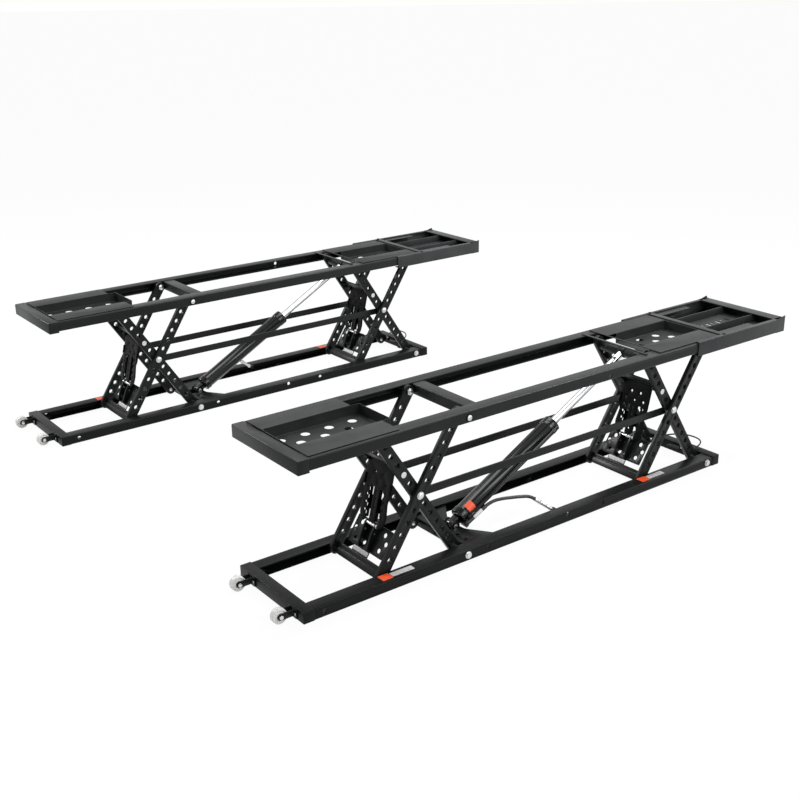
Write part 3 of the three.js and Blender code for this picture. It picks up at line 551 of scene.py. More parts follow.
# Small plates for the hose end and the release cable
def addBaseTabs(shape):
    addBox(shape, *baseTabs["hoseBlock"])
    for x, y in baseTabs["shelves"]:
        addPlate(shape, rectangle(x, y), baseTabs["shelfZ"], "xy", rim=0.7, corners={0: 6, 3: 6})
    for plane, across, span in baseTabs["uprights"]:
        addPlate(shape, rectangle(across, baseTabs["uprightZ"]), span, plane, rim=0.5, corners={2: 5, 3: 5})


def makeBase():
    shape = bmesh.new()
    rail = bmesh.new()
    width, endBar, lap = pair["width"], base["endBar"], base["railLap"]
    addRail(rail, base, (0, base["railHeight"]), (endBar - lap, base["length"] - endBar + lap), 0.35)
    farRail = mirrorAcross(rail)
    webHoles = [(x, z, base["holeRadius"]) for x, z in base["holes"]]
    webHoles += [(x, base["pinHeight"], base["pinHole"]) for x in base["pins"]]
    drillWeb(rail, webHoles)
    drillWeb(farRail, webHoles, (width - base["drillTo"], width - base["drillFrom"]))
    takeIn(shape, rail)
    takeIn(shape, farRail)
    across = (-base["endBarLap"], width + base["endBarLap"])
    for x in (0, base["length"] - endBar):
        addBox(shape, (x, x + endBar), across, (0, endBar), base["endBarRim"], 4)
    addCylinderFoot(shape)
    addBaseTabs(shape)
    finishPiece("baseFrame", shape, "basePaint", "base_frames", ["base_frame"])


makeBase()

# Plain patches on the top of the rail
patches = {
    "layer": (0.02, 0.25), "rim": 0.08, "round": 2,
    "places": (
        ("orangePatch", (304, 344), (9, 44)), ("greyPatch", (346, 433), (14, 38)),
        ("orangePatch", (1499, 1541), (9, 44)), ("greyPatch", (1543, 1625), (14, 38)),
    ),
}


def makePatches():
    layer = [base["railHeight"] + height for height in patches["layer"]]
    for count, (finish, x, y) in enumerate(patches["places"], 1):
        shape = bmesh.new()
        addPlate(shape, rectangle(x, y), layer, "xy", rim=patches["rim"], corners=allFour(patches["round"]))
        finishPiece(f"railPatch{count}", shape, finish, "base_frames")


makePatches()
print("base frame made")


# Casters on the base's wheel end; the face is radius and depth from the wheel's side
caster = {
    "x": -52.3, "z": 25.4, "insets": {"outer": 56, "inner": 74}, "radius": 25.2, "width": 22,
    "face": ((4.4, 3.5), (9.5, 3.5), (10, 1.2), (13, 0.6), (15.5, 2.4), (19, 2.4), (21, 0)),
    "tread": ((2.4, 0), (0.7, 0.9), (0, 3)),
}
fork = {
    "half": 23, "plateZ": (4, 37.5), "plateX": (-4.3, -0.3), "plateRound": 4,
    "cheekX": (-63.3, -1), "cheekZ": (14.4, 36.4), "cheekThick": 3, "cheekGap": 1, "cheekRound": 10.8,
    "axle": 4, "axleOut": 6, "nutOut": 4, "nutFlats": 13, "nutThick": 4.6,
    "boltApart": 18, "boltZ": 21, "boltFlats": 8, "boltThick": 3,
}


def addWheel(shape, y):
    half, tyre = caster["width"] / 2, caster["radius"]
    face = list(caster["face"]) + [(tyre - inset, depth) for inset, depth in caster["tread"]]
    profile = [(radius, depth - half) for radius, depth in face]
    profile += [(radius, half - depth) for radius, depth in reversed(face)] + profile[:1]
    addLathe(shape, profile, (caster["x"], y, caster["z"]), steps=64)


def addFork(shape, y):
    half, thick = caster["width"] / 2, fork["cheekThick"]
    addPlate(shape, rectangle((y - fork["half"], y + fork["half"]), fork["plateZ"]), fork["plateX"], "yz",
             rim=0.7, corners=allFour(fork["plateRound"]))
    for near in (y - half - fork["cheekGap"] - thick, y + half + fork["cheekGap"]):
        addPlate(shape, rectangle(fork["cheekX"], fork["cheekZ"]), (near, near + thick), "xz",
                 corners={0: fork["cheekRound"], 3: fork["cheekRound"]}, steps=8)


def addForkBolts(shape, y):
    x, z, half = caster["x"], caster["z"], caster["width"] / 2
    reach, seat = half + fork["axleOut"], half + fork["nutOut"]
    addAxle(shape, x, z, (y - reach, y + reach), fork["axle"], sides=20, rim=0.4)
    for way in (-1, 1):
        addHex(shape, (x, y + way * seat, z), (0, way, 0), fork["nutFlats"], fork["nutThick"])
    outside = fork["plateX"][0]
    for place in (y - fork["boltApart"], y + fork["boltApart"]):
        addHex(shape, (outside, place, fork["boltZ"]), (-1, 0, 0), fork["boltFlats"], fork["boltThick"])


def makeCasters():
    for side, y in caster["insets"].items():
        for part, add, finish, body, nodes in (
            ("Wheel", addWheel, "nylon", f"{side}_caster_wheel", [f"{side}_caster_wheel"]),
            ("Fork", addFork, "armPaint", "base_frames", [f"{side}_caster_fork"]),
            ("AxleBolt", addForkBolts, "zinc", "base_frames", []),
        ):
            shape = bmesh.new()
            add(shape, y)
            finishSide(side, f"{side}{part}", shape, finish, body, nodes)


makeCasters()
print("casters made")


# Scissor arms, drawn along x from their pin and then turned up
arm = {
    "length": 579.3, "depth": 42, "thick": 15, "raised": 57, "outerY": 51.5, "innerY": 68, "endFlat": 0.2,
    "holes": 5, "holeStart": 51.5, "pitch": 44.4, "hole": 9.5, "pinHole": 8.3, "centreHole": 7.3,
    "deckPinZ": 507.842, "lockAlong": 385.55, "stub": 7, "rollerY": (10, 40),
}
baseArm = {
    "crossPlate": ((405, 433), (82, 297), (-1, 3)), "topStubY": (39, 69), "roller": 13.4,
    "centreStubY": (51.2, 91), "lockStubY": (82, 123.4), "lockStub": 5,
    "lockCollarY": (82.8, 117.5), "lockCollar": 7.5, "lockHeadY": (67.2, 68.4), "lockHead": 10.5,
    "washerY": (49.6, 51.3), "washer": 13.5, "nutY": 90.8, "nutFlats": 18, "nutThick": 5.2,
    "boltHead": [(0, 43.8), (4, 44), (8, 44.9), (10.6, 46.6), (11, 48), (11, 49.8), (0, 49.8)],
    "seatAlong": 559.3, "seatY": (82, 172.2), "seat": 18,
    "seatWeb": [(484, 82), (559.3, 82), (559.3, 160)], "seatWebZ": (-3, 3),
}


def addArm(shape, y, skipped, pinHoles):
    half, length = arm["depth"] / 2, arm["length"]
    steps = [arm["holeStart"] + k * arm["pitch"] for k in range(arm["holes"])]
    holes = [(length / 2 + s * step, 0, arm["hole"]) for step in steps for s in (-1, 1)]
    holes = [h for h in holes if abs(h[0] - skipped) > 1] + [(x, 0, r) for x, r in pinHoles]
    addPlate(shape, rectangle((-half, length + half), (-half, half)), (y, y + arm["thick"]), "xz",
             holes=holes, rim=1.0, corners=allFour(half - arm["endFlat"]), steps=10)


def makeBaseArms(end, step):
    size = baseArm
    centre, top, lockPin = arm["length"] / 2, arm["length"], arm["lockAlong"]
    shape = bmesh.new()
    bothSides(shape, lambda part: addArm(part, arm["innerY"], lockPin, [(0, arm["pinHole"])]))
    addBox(shape, *size["crossPlate"])

    def fittings(part):
        addAxle(part, top, 0, size["topStubY"], arm["stub"])
        addAxle(part, top, 0, arm["rollerY"], size["roller"], sides=36, rim=1.2)
        addAxle(part, centre, 0, size["centreStubY"], arm["stub"])
        addAxle(part, lockPin, 0, size["lockStubY"], size["lockStub"])
        addAxle(part, lockPin, 0, size["lockCollarY"], size["lockCollar"], sides=28, rim=0.8)
    bothSides(shape, fittings)

    def bolts(part):
        addAxle(part, centre, 0, size["washerY"], size["washer"], sides=36, rim=0.5)
        addLathe(part, size["boltHead"], (centre, 0, 0))
        addHex(part, (centre, size["nutY"], 0), (0, 1, 0), size["nutFlats"], size["nutThick"])
        addAxle(part, lockPin, 0, size["lockHeadY"], size["lockHead"], sides=28, rim=0.5)
    bright = bmesh.new()
    bothSides(bright, bolts)

    # the ramp-end arms also carry the seat of the rod's eye
    def seats(part):
        addAxle(part, size["seatAlong"], 0, size["seatY"], size["seat"], sides=40, rim=1.2)
        addPlate(part, size["seatWeb"], size["seatWebZ"], "xy", rim=0.8, corners={0: 4, 2: 6})
    if end == "ramp_end":
        bothSides(shape, seats)
    for item in (shape, bright):
        turnTo(item, base["pins"][0] + step, base["pinHeight"], arm["raised"] - 180)
    finishPiece(f"{end}BaseArms", shape, "armPaint", f"{end}_base_arms", [f"{end}_base_arms"])
    finishPiece(f"{end}CentreBolts", bright, "zinc", f"{end}_base_arms")


deckArm = {
    "barY": (66, 313), "stubY": (39, 52), "roller": 12.7, "collarY": 66.6,
    "bars": (
        {"x": (569, 592.3), "z": (-7.5, 7.5), "rim": 2.4, "steps": 3},
        {"x": (553.5, 562.5), "z": (-5.5, 5.5), "rim": 1.6, "steps": 3},
        {"x": (562, 570), "z": (-2, 2), "rim": 0, "steps": 1},
    ),
    "collar": [(7.5, 0), (9.6, 0.3), (9.4, 1.2), (7.5, 2.2)],
}
catch = {
    "plateX": (437, 534), "half": 96, "plateZ": (4.5, 7.5), "hole": 8,
    "holes": ((458, 64), (483, 84), (512, 66), (512, 14)),
    "tongue": ((533, 565), (159.5, 245.5), (4.8, 7.2)), "ribX": (437, 441), "ribZ": (1.5, 5), "ribInset": 6,
    "prong": [(438, -20), (478, -20), (533, -8), (533, 5), (438, 5)], "prongY": (161.5, 167.5),
    "prongHole": (470, -9, 4.5), "boltAt": (446, -14), "boltY": (158, 221), "bolt": 5,
    "nutsY": (161.4, 217.6), "nutFlats": 13, "nutThick": 5, "rollerY": (181.5, 197.5), "roller": 5.8,
    "patchX": (536, 551), "patchY": (162, 243), "patchZ": (4.5, 4.79),
}


# The catch is a perforated plate with two prongs, a rib and the tongue that joins it to the foot bars
def addCatchPlate(shape):
    low, high = midY - catch["half"], midY + catch["half"]
    holes = [(along, midY + s * away, catch["hole"], 24) for along, away in catch["holes"] for s in (-1, 1)]
    addPlate(shape, rectangle(catch["plateX"], (low, high)), catch["plateZ"], "xy", holes=holes,
             rim=0.7, corners={0: 6, 1: 5, 2: 5, 3: 6})
    addBox(shape, *catch["tongue"], rim=0.7)
    addBox(shape, catch["ribX"], (low + catch["ribInset"], high - catch["ribInset"]), catch["ribZ"])


def addCatchBolt(shape):
    along, off = catch["boltAt"]
    addAxle(shape, along, off, catch["boltY"], catch["bolt"])
    for y, way in zip(catch["nutsY"], (-1, 1)):
        addHex(shape, (along, y, off), (0, way, 0), catch["nutFlats"], catch["nutThick"])
    addAxle(shape, along, off, catch["rollerY"], catch["roller"], sides=32, rim=0.8)


def makeDeckArms(end, step):
    centre, foot = arm["length"] / 2, arm["length"]
    pinHoles = [(0, arm["pinHole"]), (centre, arm["centreHole"])]
    shape = bmesh.new()
    bothSides(shape, lambda part: addArm(part, arm["outerY"], 0, pinHoles))
    for bar in deckArm["bars"]:
        addBox(shape, bar["x"], deckArm["barY"], bar["z"], bar["rim"], bar["steps"])
    addCatchPlate(shape)

    def feet(part):
        addAxle(part, foot, 0, deckArm["stubY"], arm["stub"])
        addAxle(part, foot, 0, arm["rollerY"], deckArm["roller"], sides=36, rim=1.2)
        addPlate(part, catch["prong"], catch["prongY"], "xz", rim=0.8, corners={0: 5, 1: 12, 2: 6, 4: 2},
                 holes=[catch["prongHole"]])
        addLathe(part, deckArm["collar"], (foot, deckArm["collarY"], 0), steps=32)
    bothSides(shape, feet)
    bright = bmesh.new()
    addCatchBolt(bright)
    patch = bmesh.new()
    addPlate(patch, rectangle(catch["patchX"], catch["patchY"]), catch["patchZ"], "xy", rim=0.1,
             corners=allFour(patches["round"]))
    for item in (shape, bright, patch):
        turnTo(item, base["pins"][0] + step, arm["deckPinZ"], 180 - arm["raised"])
    finishPiece(f"{end}DeckArms", shape, "armPaint", f"{end}_deck_arms", [f"{end}_deck_arms"])
    finishPiece(f"{end}CatchBolt", bright, "zinc", f"{end}_deck_arms")
    finishPiece(f"{end}CatchPatch", patch, "greyPatch", f"{end}_deck_arms")


# Safety lock, a bent sheet with a toothed slot; places are along the pawl and away from the middle
lock = {
    "lean": 13.7, "half": 70, "plateZ": (2, 6),
    "side": ((-8, 70), (97, 70), (116, 62), (165, 70), (192, 66), (210, 50)),
    "slot": (154.5, 174.5), "slotStart": 85, "slotMouth": (198, 202, 210), "mouthStep": 4,
    "teeth": 4, "firstTooth": 97, "toothPitch": 27, "tooth": ((9, 0), (7, 5), (-2, 5), (-5, 0)),
    "pairedHoles": ((34, 22), (65, 43)), "pairedHole": 5, "middleHoles": (66, 96, 121, 149, 177),
    "middleHole": 4, "rowHoles": (92, 119, 146, 172), "rowAway": 46, "rowHole": 4.6,
    "ear": 8.2, "earRound": 8.1, "earTop": 5.5, "earThick": 4, "earHole": (0, 0, 5.4),
    "sideFlange": (52, 88), "flangeThick": 3, "flangeZ": (-3, 3.5),
    "bar": ((-8, -4), (125.5, 253.5), (-2.5, 5)),
    # Painted shade: the flanges along the slots and the plate behind them are dark sheets that stand in for
    # the shade seen through the slots
    "shadeSheetX": (85, 196), "shadeSheetZ": (5.5, 16), "shadeSheetsY": (151.9, 174.1),
    "slotShadeBack": ((118, 168), (152.5, 176.5), (14, 16)),
}


def lockOutline():
    low, high = lock["slot"]
    back, lip, front = lock["slotMouth"]
    outline = [(along, midY - away) for along, away in lock["side"]]
    outline += [(front, low)]
    for k in reversed(range(lock["teeth"])):
        along = lock["firstTooth"] + k * lock["toothPitch"]
        outline += [(along + ahead, low - depth) for ahead, depth in lock["tooth"]]
    outline += [(lock["slotStart"], low), (lock["slotStart"], high)]
    outline += [(back, high), (lip, high + lock["mouthStep"])]
    return outline + [(x, pair["width"] - y) for x, y in reversed(outline)]


def makeLock(end, step):
    raised = math.radians(arm["raised"])
    pivotX = base["pins"][0] - arm["lockAlong"] * math.cos(raised)
    pivotZ = base["pinHeight"] + arm["lockAlong"] * math.sin(raised)
    holes = [(along, midY + s * away, lock["pairedHole"], 24)
             for along, away in lock["pairedHoles"] for s in (-1, 1)]
    holes += [(along, midY, lock["middleHole"], 20) for along in lock["middleHoles"]]
    holes += [(along, midY + s * lock["rowAway"], lock["rowHole"], 20)
              for along in lock["rowHoles"] for s in (-1, 1)]
    shape = bmesh.new()
    addPlate(shape, lockOutline(), lock["plateZ"], "xy", holes=holes,
             corners={0: 4, 1: 8, 2: 14, 3: 14, 4: 8, 5: 5})

    def ears(part):
        half, y = lock["ear"], midY - lock["half"]
        addPlate(part, rectangle((-half, half), (-half, lock["earTop"])), (y, y + lock["earThick"]), "xz",
                 holes=[lock["earHole"]], corners={0: lock["earRound"], 1: lock["earRound"]}, steps=8)
        addBox(part, lock["sideFlange"], (y, y + lock["flangeThick"]), lock["flangeZ"], 0.9)
    bothSides(shape, ears)
    addBox(shape, *lock["bar"])

    # Flanges bent back along the slots and a plate behind them, dark sheets that put painted shade into the
    # slots
    def slotShadeSheets(part):
        for y in lock["shadeSheetsY"]:
            addBox(part, lock["shadeSheetX"], (y, y + lock["flangeThick"]), lock["shadeSheetZ"], 0.6)
        addBox(part, *lock["slotShadeBack"], rim=0.4)
    bothSides(shape, slotShadeSheets)
    turnTo(shape, pivotX + step, pivotZ, 90 + lock["lean"])
    finishPiece(f"{end}LockPawl", shape, "lockPaint", f"{end}_lock", [f"{end}_lock"])


for end, step in (("wheel_end", 0), ("ramp_end", pair["endStep"])):
    makeBaseArms(end, step)
    makeDeckArms(end, step)
    makeLock(end, step)
print("scissors and locks made")


# Level bars between the centre pins of the two scissors
levelBar = {
    "x": (472.3, 1710.2), "y": (84.5, 90.5), "z": (-23.5, 4.5),
    "pins": (486.245, 1696.245), "pinZ": 264.921, "boss": 14, "bossInset": 0.05,
}


def makeLevelBars():
    z, (near, far), inset = levelBar["pinZ"], levelBar["y"], levelBar["bossInset"]
    heights = [z + height for height in levelBar["z"]]
    for side in ("outer", "inner"):
        shape = bmesh.new()
        addPlate(shape, rectangle(levelBar["x"], heights), (near, far), "xz", rim=0.9,
                 corners={0: 5, 1: 5, 2: 3, 3: 3})
        for x in levelBar["pins"]:
            addAxle(shape, x, z, (near + inset, far - inset), levelBar["boss"], sides=40, rim=0.8)
        finishSide(side, f"{side}LevelBar", shape, "railPaint", "level_bars", [f"{side}_level_bar"])


makeLevelBars()
print("level bars made")


# Pins of the arms; the ramp's sleeve covers the deck pins of the ramp end
armPin = {
    "radius": 8, "baseY": (-0.8, 83.7), "baseHeadY": (-1.9, -0.3), "baseHead": 12.8,
    "baseNutY": -1.8, "baseNutFlats": 19, "baseNutThick": 5,
    "deckY": (-0.8, 78.5), "coveredY": (0.1, 78.5), "washerY": (-2.2, -0.3), "washer": 13,
    "deckNutY": 66.9, "deckNutFlats": 22, "deckNutThick": 8.8,
    "cap": [(0, -6.8), (3.5, -6.6), (7, -5.6), (9.2, -4), (9.6, -2), (0, -2)],
}


def makeBasePin(end, side, x):
    shape = bmesh.new()
    z = base["pinHeight"]
    addAxle(shape, x, z, armPin["baseY"], armPin["radius"], sides=28)
    addAxle(shape, x, z, armPin["baseHeadY"], armPin["baseHead"], sides=40, rim=0.4)
    addHex(shape, (x, armPin["baseNutY"], z), (0, -1, 0), armPin["baseNutFlats"], armPin["baseNutThick"])
    finishSide(side, f"{end}.{side}BasePin", shape, "zinc", "base_frames", [f"{end}_{side}_base_pin"])


def makeDeckPin(end, side, x):
    shape = bmesh.new()
    z, covered = arm["deckPinZ"], end == "ramp_end"
    addAxle(shape, x, z, armPin["coveredY" if covered else "deckY"], armPin["radius"], sides=28)
    addHex(shape, (x, armPin["deckNutY"], z), (0, 1, 0), armPin["deckNutFlats"], armPin["deckNutThick"])
    if not covered:
        addLathe(shape, armPin["cap"], (x, 0, z))
    finishSide(side, f"{end}.{side}DeckPin", shape, "zinc", "platform", [f"{end}_{side}_deck_pin"])
    if not covered:
        washer = bmesh.new()
        addAxle(washer, x, z, armPin["washerY"], armPin["washer"], sides=40, rim=0.5)
        finishSide(side, f"{end}.{side}PinWasher", washer, "armPaint", "platform")


for end, x in zip(("wheel_end", "ramp_end"), base["pins"]):
    for side in ("outer", "inner"):
        makeBasePin(end, side, x)
        makeDeckPin(end, side, x)
print("pins made")


# Platform frame and decks
platform = {
    "top": 530, "bottom": 490, "wall": 4, "railWidth": 50, "bend": 5, "innerBend": 2,
    "railX": (45.5, 2096), "webHole": (1285, 505, 7.5),
    "headX": (4, 46), "headZ": (485, 530), "headBend": 4,
    "headCaps": (0.3, 375.7), "capX": (7, 45.8), "capZ": (485.5, 529.5), "capThick": 3,
    "crossTube": ((668, 718), (49, 330), (490.5, 528)), "strip": ((1494, 1506), (30, 349), (529.5, 533)),
    "crossBar": ((1877, 1887), (49, 330), (490.5, 529.5)),
}


def makePlatform():
    shape = bmesh.new()
    rail = bmesh.new()
    addRail(rail, platform, (platform["bottom"], platform["top"]), platform["railX"], 0.4)
    farRail = mirrorAcross(rail)
    drillWeb(rail, [(x, arm["deckPinZ"], base["pinHole"]) for x in base["pins"]] + [platform["webHole"]])
    takeIn(shape, rail)
    takeIn(shape, farRail)
    head = channel(platform["wall"], platform["headX"], platform["headZ"])
    outerBend, inner = platform["headBend"], platform["innerBend"]
    addPlate(shape, head, (0, pair["width"]), "xz", rim=0.5,
             corners={0: outerBend, 7: outerBend, 3: inner, 4: inner})
    for y in platform["headCaps"]:
        addBox(shape, platform["capX"], (y, y + platform["capThick"]), platform["capZ"], 0.5)
    addBox(shape, *platform["crossTube"], rim=3, steps=4)
    addBox(shape, *platform["strip"], rim=0.7)
    addBox(shape, *platform["crossBar"])
    finishPiece("platformFrame", shape, "railPaint", "platform", ["platform_frame"])


makePlatform()

decks = {
    "wheel_end": {
        "plate": (49, 379), "pan": (50, 413), "width": 173, "top": 532.6, "rows": (95, 137, 95),
    },
    "ramp_end": {
        "plate": (1551, 1875), "pan": (1600, 1875), "width": 168.4, "top": 532.4, "rows": (1697, 1646, 1697),
    },
}
deckPlate = {
    "y": (12, 105), "z": (530.3, 533.3), "lipX": (0.5, 6.5), "lipY": (104, 275), "lipZ": (530.6, 533),
}
deckPan = {
    "floor": 494, "wall": 2, "bend": 4, "hole": 15, "holePitch": 88, "holeEdge": 17, "rowApart": 48.5,
    "drillZ": (485, 505),
}


def makePan(size, openLeft):
    (start, end), low, high = size["pan"], deckPan["floor"], size["top"]
    pan = bmesh.new()
    bmesh.ops.create_cube(pan, size=1)
    bmesh.ops.scale(pan, vec=(end - start, size["width"], high - low), verts=pan.verts)
    bmesh.ops.translate(pan, vec=((start + end) / 2, midY, (low + high) / 2), verts=pan.verts)
    missing = [f for f in pan.faces if f.normal.z > 0.9 or (openLeft and f.normal.x < -0.9)]
    bmesh.ops.delete(pan, geom=missing, context="FACES_ONLY")
    bmesh.ops.bevel(pan, geom=[e for e in pan.edges if not e.is_boundary], offset=deckPan["bend"],
                    offset_type="OFFSET", segments=4, profile=0.5, affect="EDGES", clamp_overlap=True,
                    material=-1)
    bmesh.ops.recalc_face_normals(pan, faces=pan.faces[:])
    outward = sum(f.normal.z for f in pan.faces if abs(f.normal.z) > 0.9) < 0
    bmesh.ops.solidify(pan, geom=pan.faces[:], thickness=deckPan["wall"] if outward else -deckPan["wall"])
    bmesh.ops.recalc_face_normals(pan, faces=pan.faces[:])
    holes = []
    below, above = deckPan["drillZ"]
    for row, x in zip((-1, 0, 1), size["rows"]):
        y = midY + row * deckPan["rowApart"]
        while x < end - deckPan["holeEdge"]:
            holes.append(((x, y, below), (x, y, above), deckPan["hole"]))
            x += deckPan["holePitch"]
    drill(pan, holes)
    softenEdges(pan, 0.5, 1, turnAbove["pan"])
    return pan


def makeDecks():
    for end, size in decks.items():
        outline = rectangle(size["plate"], deckPlate["y"])
        shape = bmesh.new()
        bothSides(shape, lambda part: addPlate(part, outline, deckPlate["z"], "xy", rim=0.9,
                                               corners={0: 3, 1: 3, 2: 1, 3: 1}))
        pan = makePan(size, end == "ramp_end")
        if end == "wheel_end":
            takeIn(shape, pan)
        else:
            lipX = [size["plate"][0] + x for x in deckPlate["lipX"]]
            addBox(shape, lipX, deckPlate["lipY"], deckPlate["lipZ"], 0.6)
            finishPiece("ramp_end.Pan", pan, "deckPaint", "platform", ["ramp_end_pan"])
        finishPiece(f"{end}Deck", shape, "deckPaint", "platform", [f"{end}_deck"])


makeDecks()
print("platform made")


# Pull-out ramp, on two sleeves over the platform's rails
ramp = {
    "low": 479, "top": 534.4, "wall": 4,
    "sleeveX": (1747, 2259.6), "sleeveY": (-4.4, -0.4), "lowLip": 20, "topLip": 11.5,
    "headX": (1888, 1912), "headY": (-3.5, 382.5), "headBelow": 3.9, "headAbove": 0.05,
    "backX": (1888.5, 1892.5), "backZ": (495.5, 531),
    "floorX": (1889, 2257), "floorY": (51, 328), "floorZ": (496, 499),
    "ribs": (114.5, 260.5), "ribThick": 4, "ribZ": (498.5, 529),
    "endX": (2208, 2260), "endY": (-4.3, 383.3), "earX": 2226, "earZ": (-0.5, 7.6),
    "screws": (7, 372), "screwX": 1900, "screwSink": 0.2, "screwFlats": 11, "screwThick": 4,
}
rampSlots = {
    "rows": (midY - 105, midY, midY + 105), "first": 1930, "last": 2180, "pitch": 56,
    "long": 12, "half": 22, "holesUntil": 2140, "holeStep": 34, "holeAway": 14, "hole": 7, "z": (490, 505),
}


def addRampFloor(shape):
    floor = bmesh.new()
    addBox(floor, ramp["floorX"], ramp["floorY"], ramp["floorZ"], 0)
    size = rampSlots
    low, high = size["z"]
    tools = bmesh.new()
    for y in size["rows"]:
        for x in range(size["first"], size["last"], size["pitch"]):
            addBox(tools, (x, x + size["long"]), (y - size["half"], y + size["half"]), (low, high), 0)
            if x < size["holesUntil"]:
                for away in (-size["holeAway"], size["holeAway"]):
                    place = (x + size["holeStep"], y + away)
                    addRod(tools, (*place, low), (*place, high), size["hole"], sides=20, rim=0)
    cutBy(floor, tools)
    softenEdges(floor, 0.5, 1, turnAbove["plate"])
    takeIn(shape, floor)
    for y in ramp["ribs"]:
        addBox(shape, ramp["floorX"], (y, y + ramp["ribThick"]), ramp["ribZ"])


def makeRamp():
    shape = bmesh.new()
    low, top, wall = ramp["low"], ramp["top"], ramp["wall"]

    def sleeve(part):
        (out, web), lowLip, topLip = ramp["sleeveY"], ramp["lowLip"], ramp["topLip"]
        profile = [(out, low), (lowLip, low), (lowLip, low + wall), (web, low + wall),
                   (web, top - wall), (topLip, top - wall), (topLip, top), (out, top)]
        addPlate(part, profile, ramp["sleeveX"], "yz", rim=0.4, corners={0: 3.6, 7: 3.6, 3: 0.8, 4: 0.8})
    bothSides(shape, sleeve)
    headZ = (top - ramp["headBelow"], top + ramp["headAbove"])
    addBox(shape, ramp["headX"], ramp["headY"], headZ, 0.9)
    addBox(shape, ramp["backX"], ramp["floorY"], ramp["backZ"], 0.7)
    addRampFloor(shape)
    near, far = ramp["endX"]
    endBar = [(near, low), (far, low), (far, top), (near, top), (near, top - wall),
              (far - wall, top - wall), (far - wall, low + wall), (near, low + wall)]
    addPlate(shape, endBar, ramp["endY"], "xz", corners={1: 3, 2: 3, 5: 1, 6: 1})

    def ears(part):
        earLow, earHigh = (top + height for height in ramp["earZ"])
        addPlate(part, [(ramp["earX"], earLow), (far, earLow), (far, earHigh)], ramp["sleeveY"], "xz",
                 corners={0: 2, 2: 2})
    bothSides(shape, ears)
    finishPiece("ramp", shape, "rampPaint", "ramp", ["ramp"])
    screws = bmesh.new()
    for y in ramp["screws"]:
        place = (ramp["screwX"], y, top - ramp["screwSink"])
        addHex(screws, place, (0, 0, 1), ramp["screwFlats"], ramp["screwThick"])
    finishPiece("rampScrews", screws, "armPaint", "ramp")


makeRamp()
print("ramp made")


# Cylinder, drawn along x from its foot pin; profiles are radius and place along it
cylinder = {
    "foot": (727, 35), "angle": 29.011398, "length": 940.379, "piston": 468.3, "barrel": 31,
    "lugY": (174.5, 204.5), "lug": 16, "neck": ((0, 34.5), (175.5, 203.5), (-14, 14)),
    "bands": (
        (-1, 34), (1.4, 36), (2, 38.5), (2, 44), (1, 45), (1, 47), (2, 48), (2, 58), (0.6, 60), (0, 61),
        (0, 503), (0.8, 504.5), (2, 506), (2, 516), (1, 517), (1, 519), (2, 520), (2, 533), (0.6, 536.6),
    ),
    "mouth": ((15, 537), (14.4, 534), (14.4, 520), (0, 520)),
    "wiper": ((14.6, 536.5), (20, 536.7), (20.6, 537.2), (20.6, 538.4), (20, 538.9), (14.6, 539)),
    "pinY": (165.2, 213.8), "pin": 8, "rod": 14, "pistonRadius": 25, "pistonLong": 18,
    "eyeHalf": 16.5, "eye": 20,
}
sidePipe = {
    "y": 153, "profile": ((0, 52), (6, 52), (7, 54), (7, 526), (6.2, 529), (4, 530), (0, 530)),
    "clamps": (66, 500), "clamp": ((7, 0), (8.4, 1), (8.4, 13), (7, 14)),
    "clampY": (153, 163), "clampZ": (-6, 6),
    "elbow": ((24, 36.8), (143.5, 176), (-22, -4)),
}
roundPatch = {"lift": 0.15, "along": (70, 100), "fromAngle": 20, "toAngle": 95, "thick": 0.2, "steps": 14}


# A round shape along the cylinder's own line
def addAlong(shape, profile, y=midY, steps=48):
    addLathe(shape, profile, (0, y, 0), (1, 0, 0), steps)


def addSidePipe(shape):
    y = sidePipe["y"]
    addAlong(shape, sidePipe["profile"], y, 32)
    for start in sidePipe["clamps"]:
        profile = [(radius, start + along) for radius, along in sidePipe["clamp"]]
        addAlong(shape, profile, y, 32)
        addBox(shape, (profile[1][1], profile[2][1]), sidePipe["clampY"], sidePipe["clampZ"], 1.5)
    addBox(shape, *sidePipe["elbow"], rim=2, steps=3)


def addPatchOnRound(shape, radius):
    first, last = roundPatch["fromAngle"], roundPatch["toAngle"]
    part = bmesh.new()
    points = [part.verts.new((x, 0, radius)) for x in roundPatch["along"]]
    edge = part.edges.new(points)
    bmesh.ops.transform(part, matrix=Matrix.Rotation(math.radians(first), 4, "X"), verts=part.verts)
    bmesh.ops.spin(part, geom=points + [edge], cent=(0, 0, 0), axis=(1, 0, 0), dvec=(0, 0, 0),
                   angle=math.radians(last - first), steps=roundPatch["steps"], use_merge=False,
                   use_duplicate=False)
    bmesh.ops.solidify(part, geom=part.faces[:], thickness=roundPatch["thick"])
    bmesh.ops.recalc_face_normals(part, faces=part.faces[:])
    bmesh.ops.translate(part, vec=(0, midY, 0), verts=part.verts)
    takeIn(shape, part)


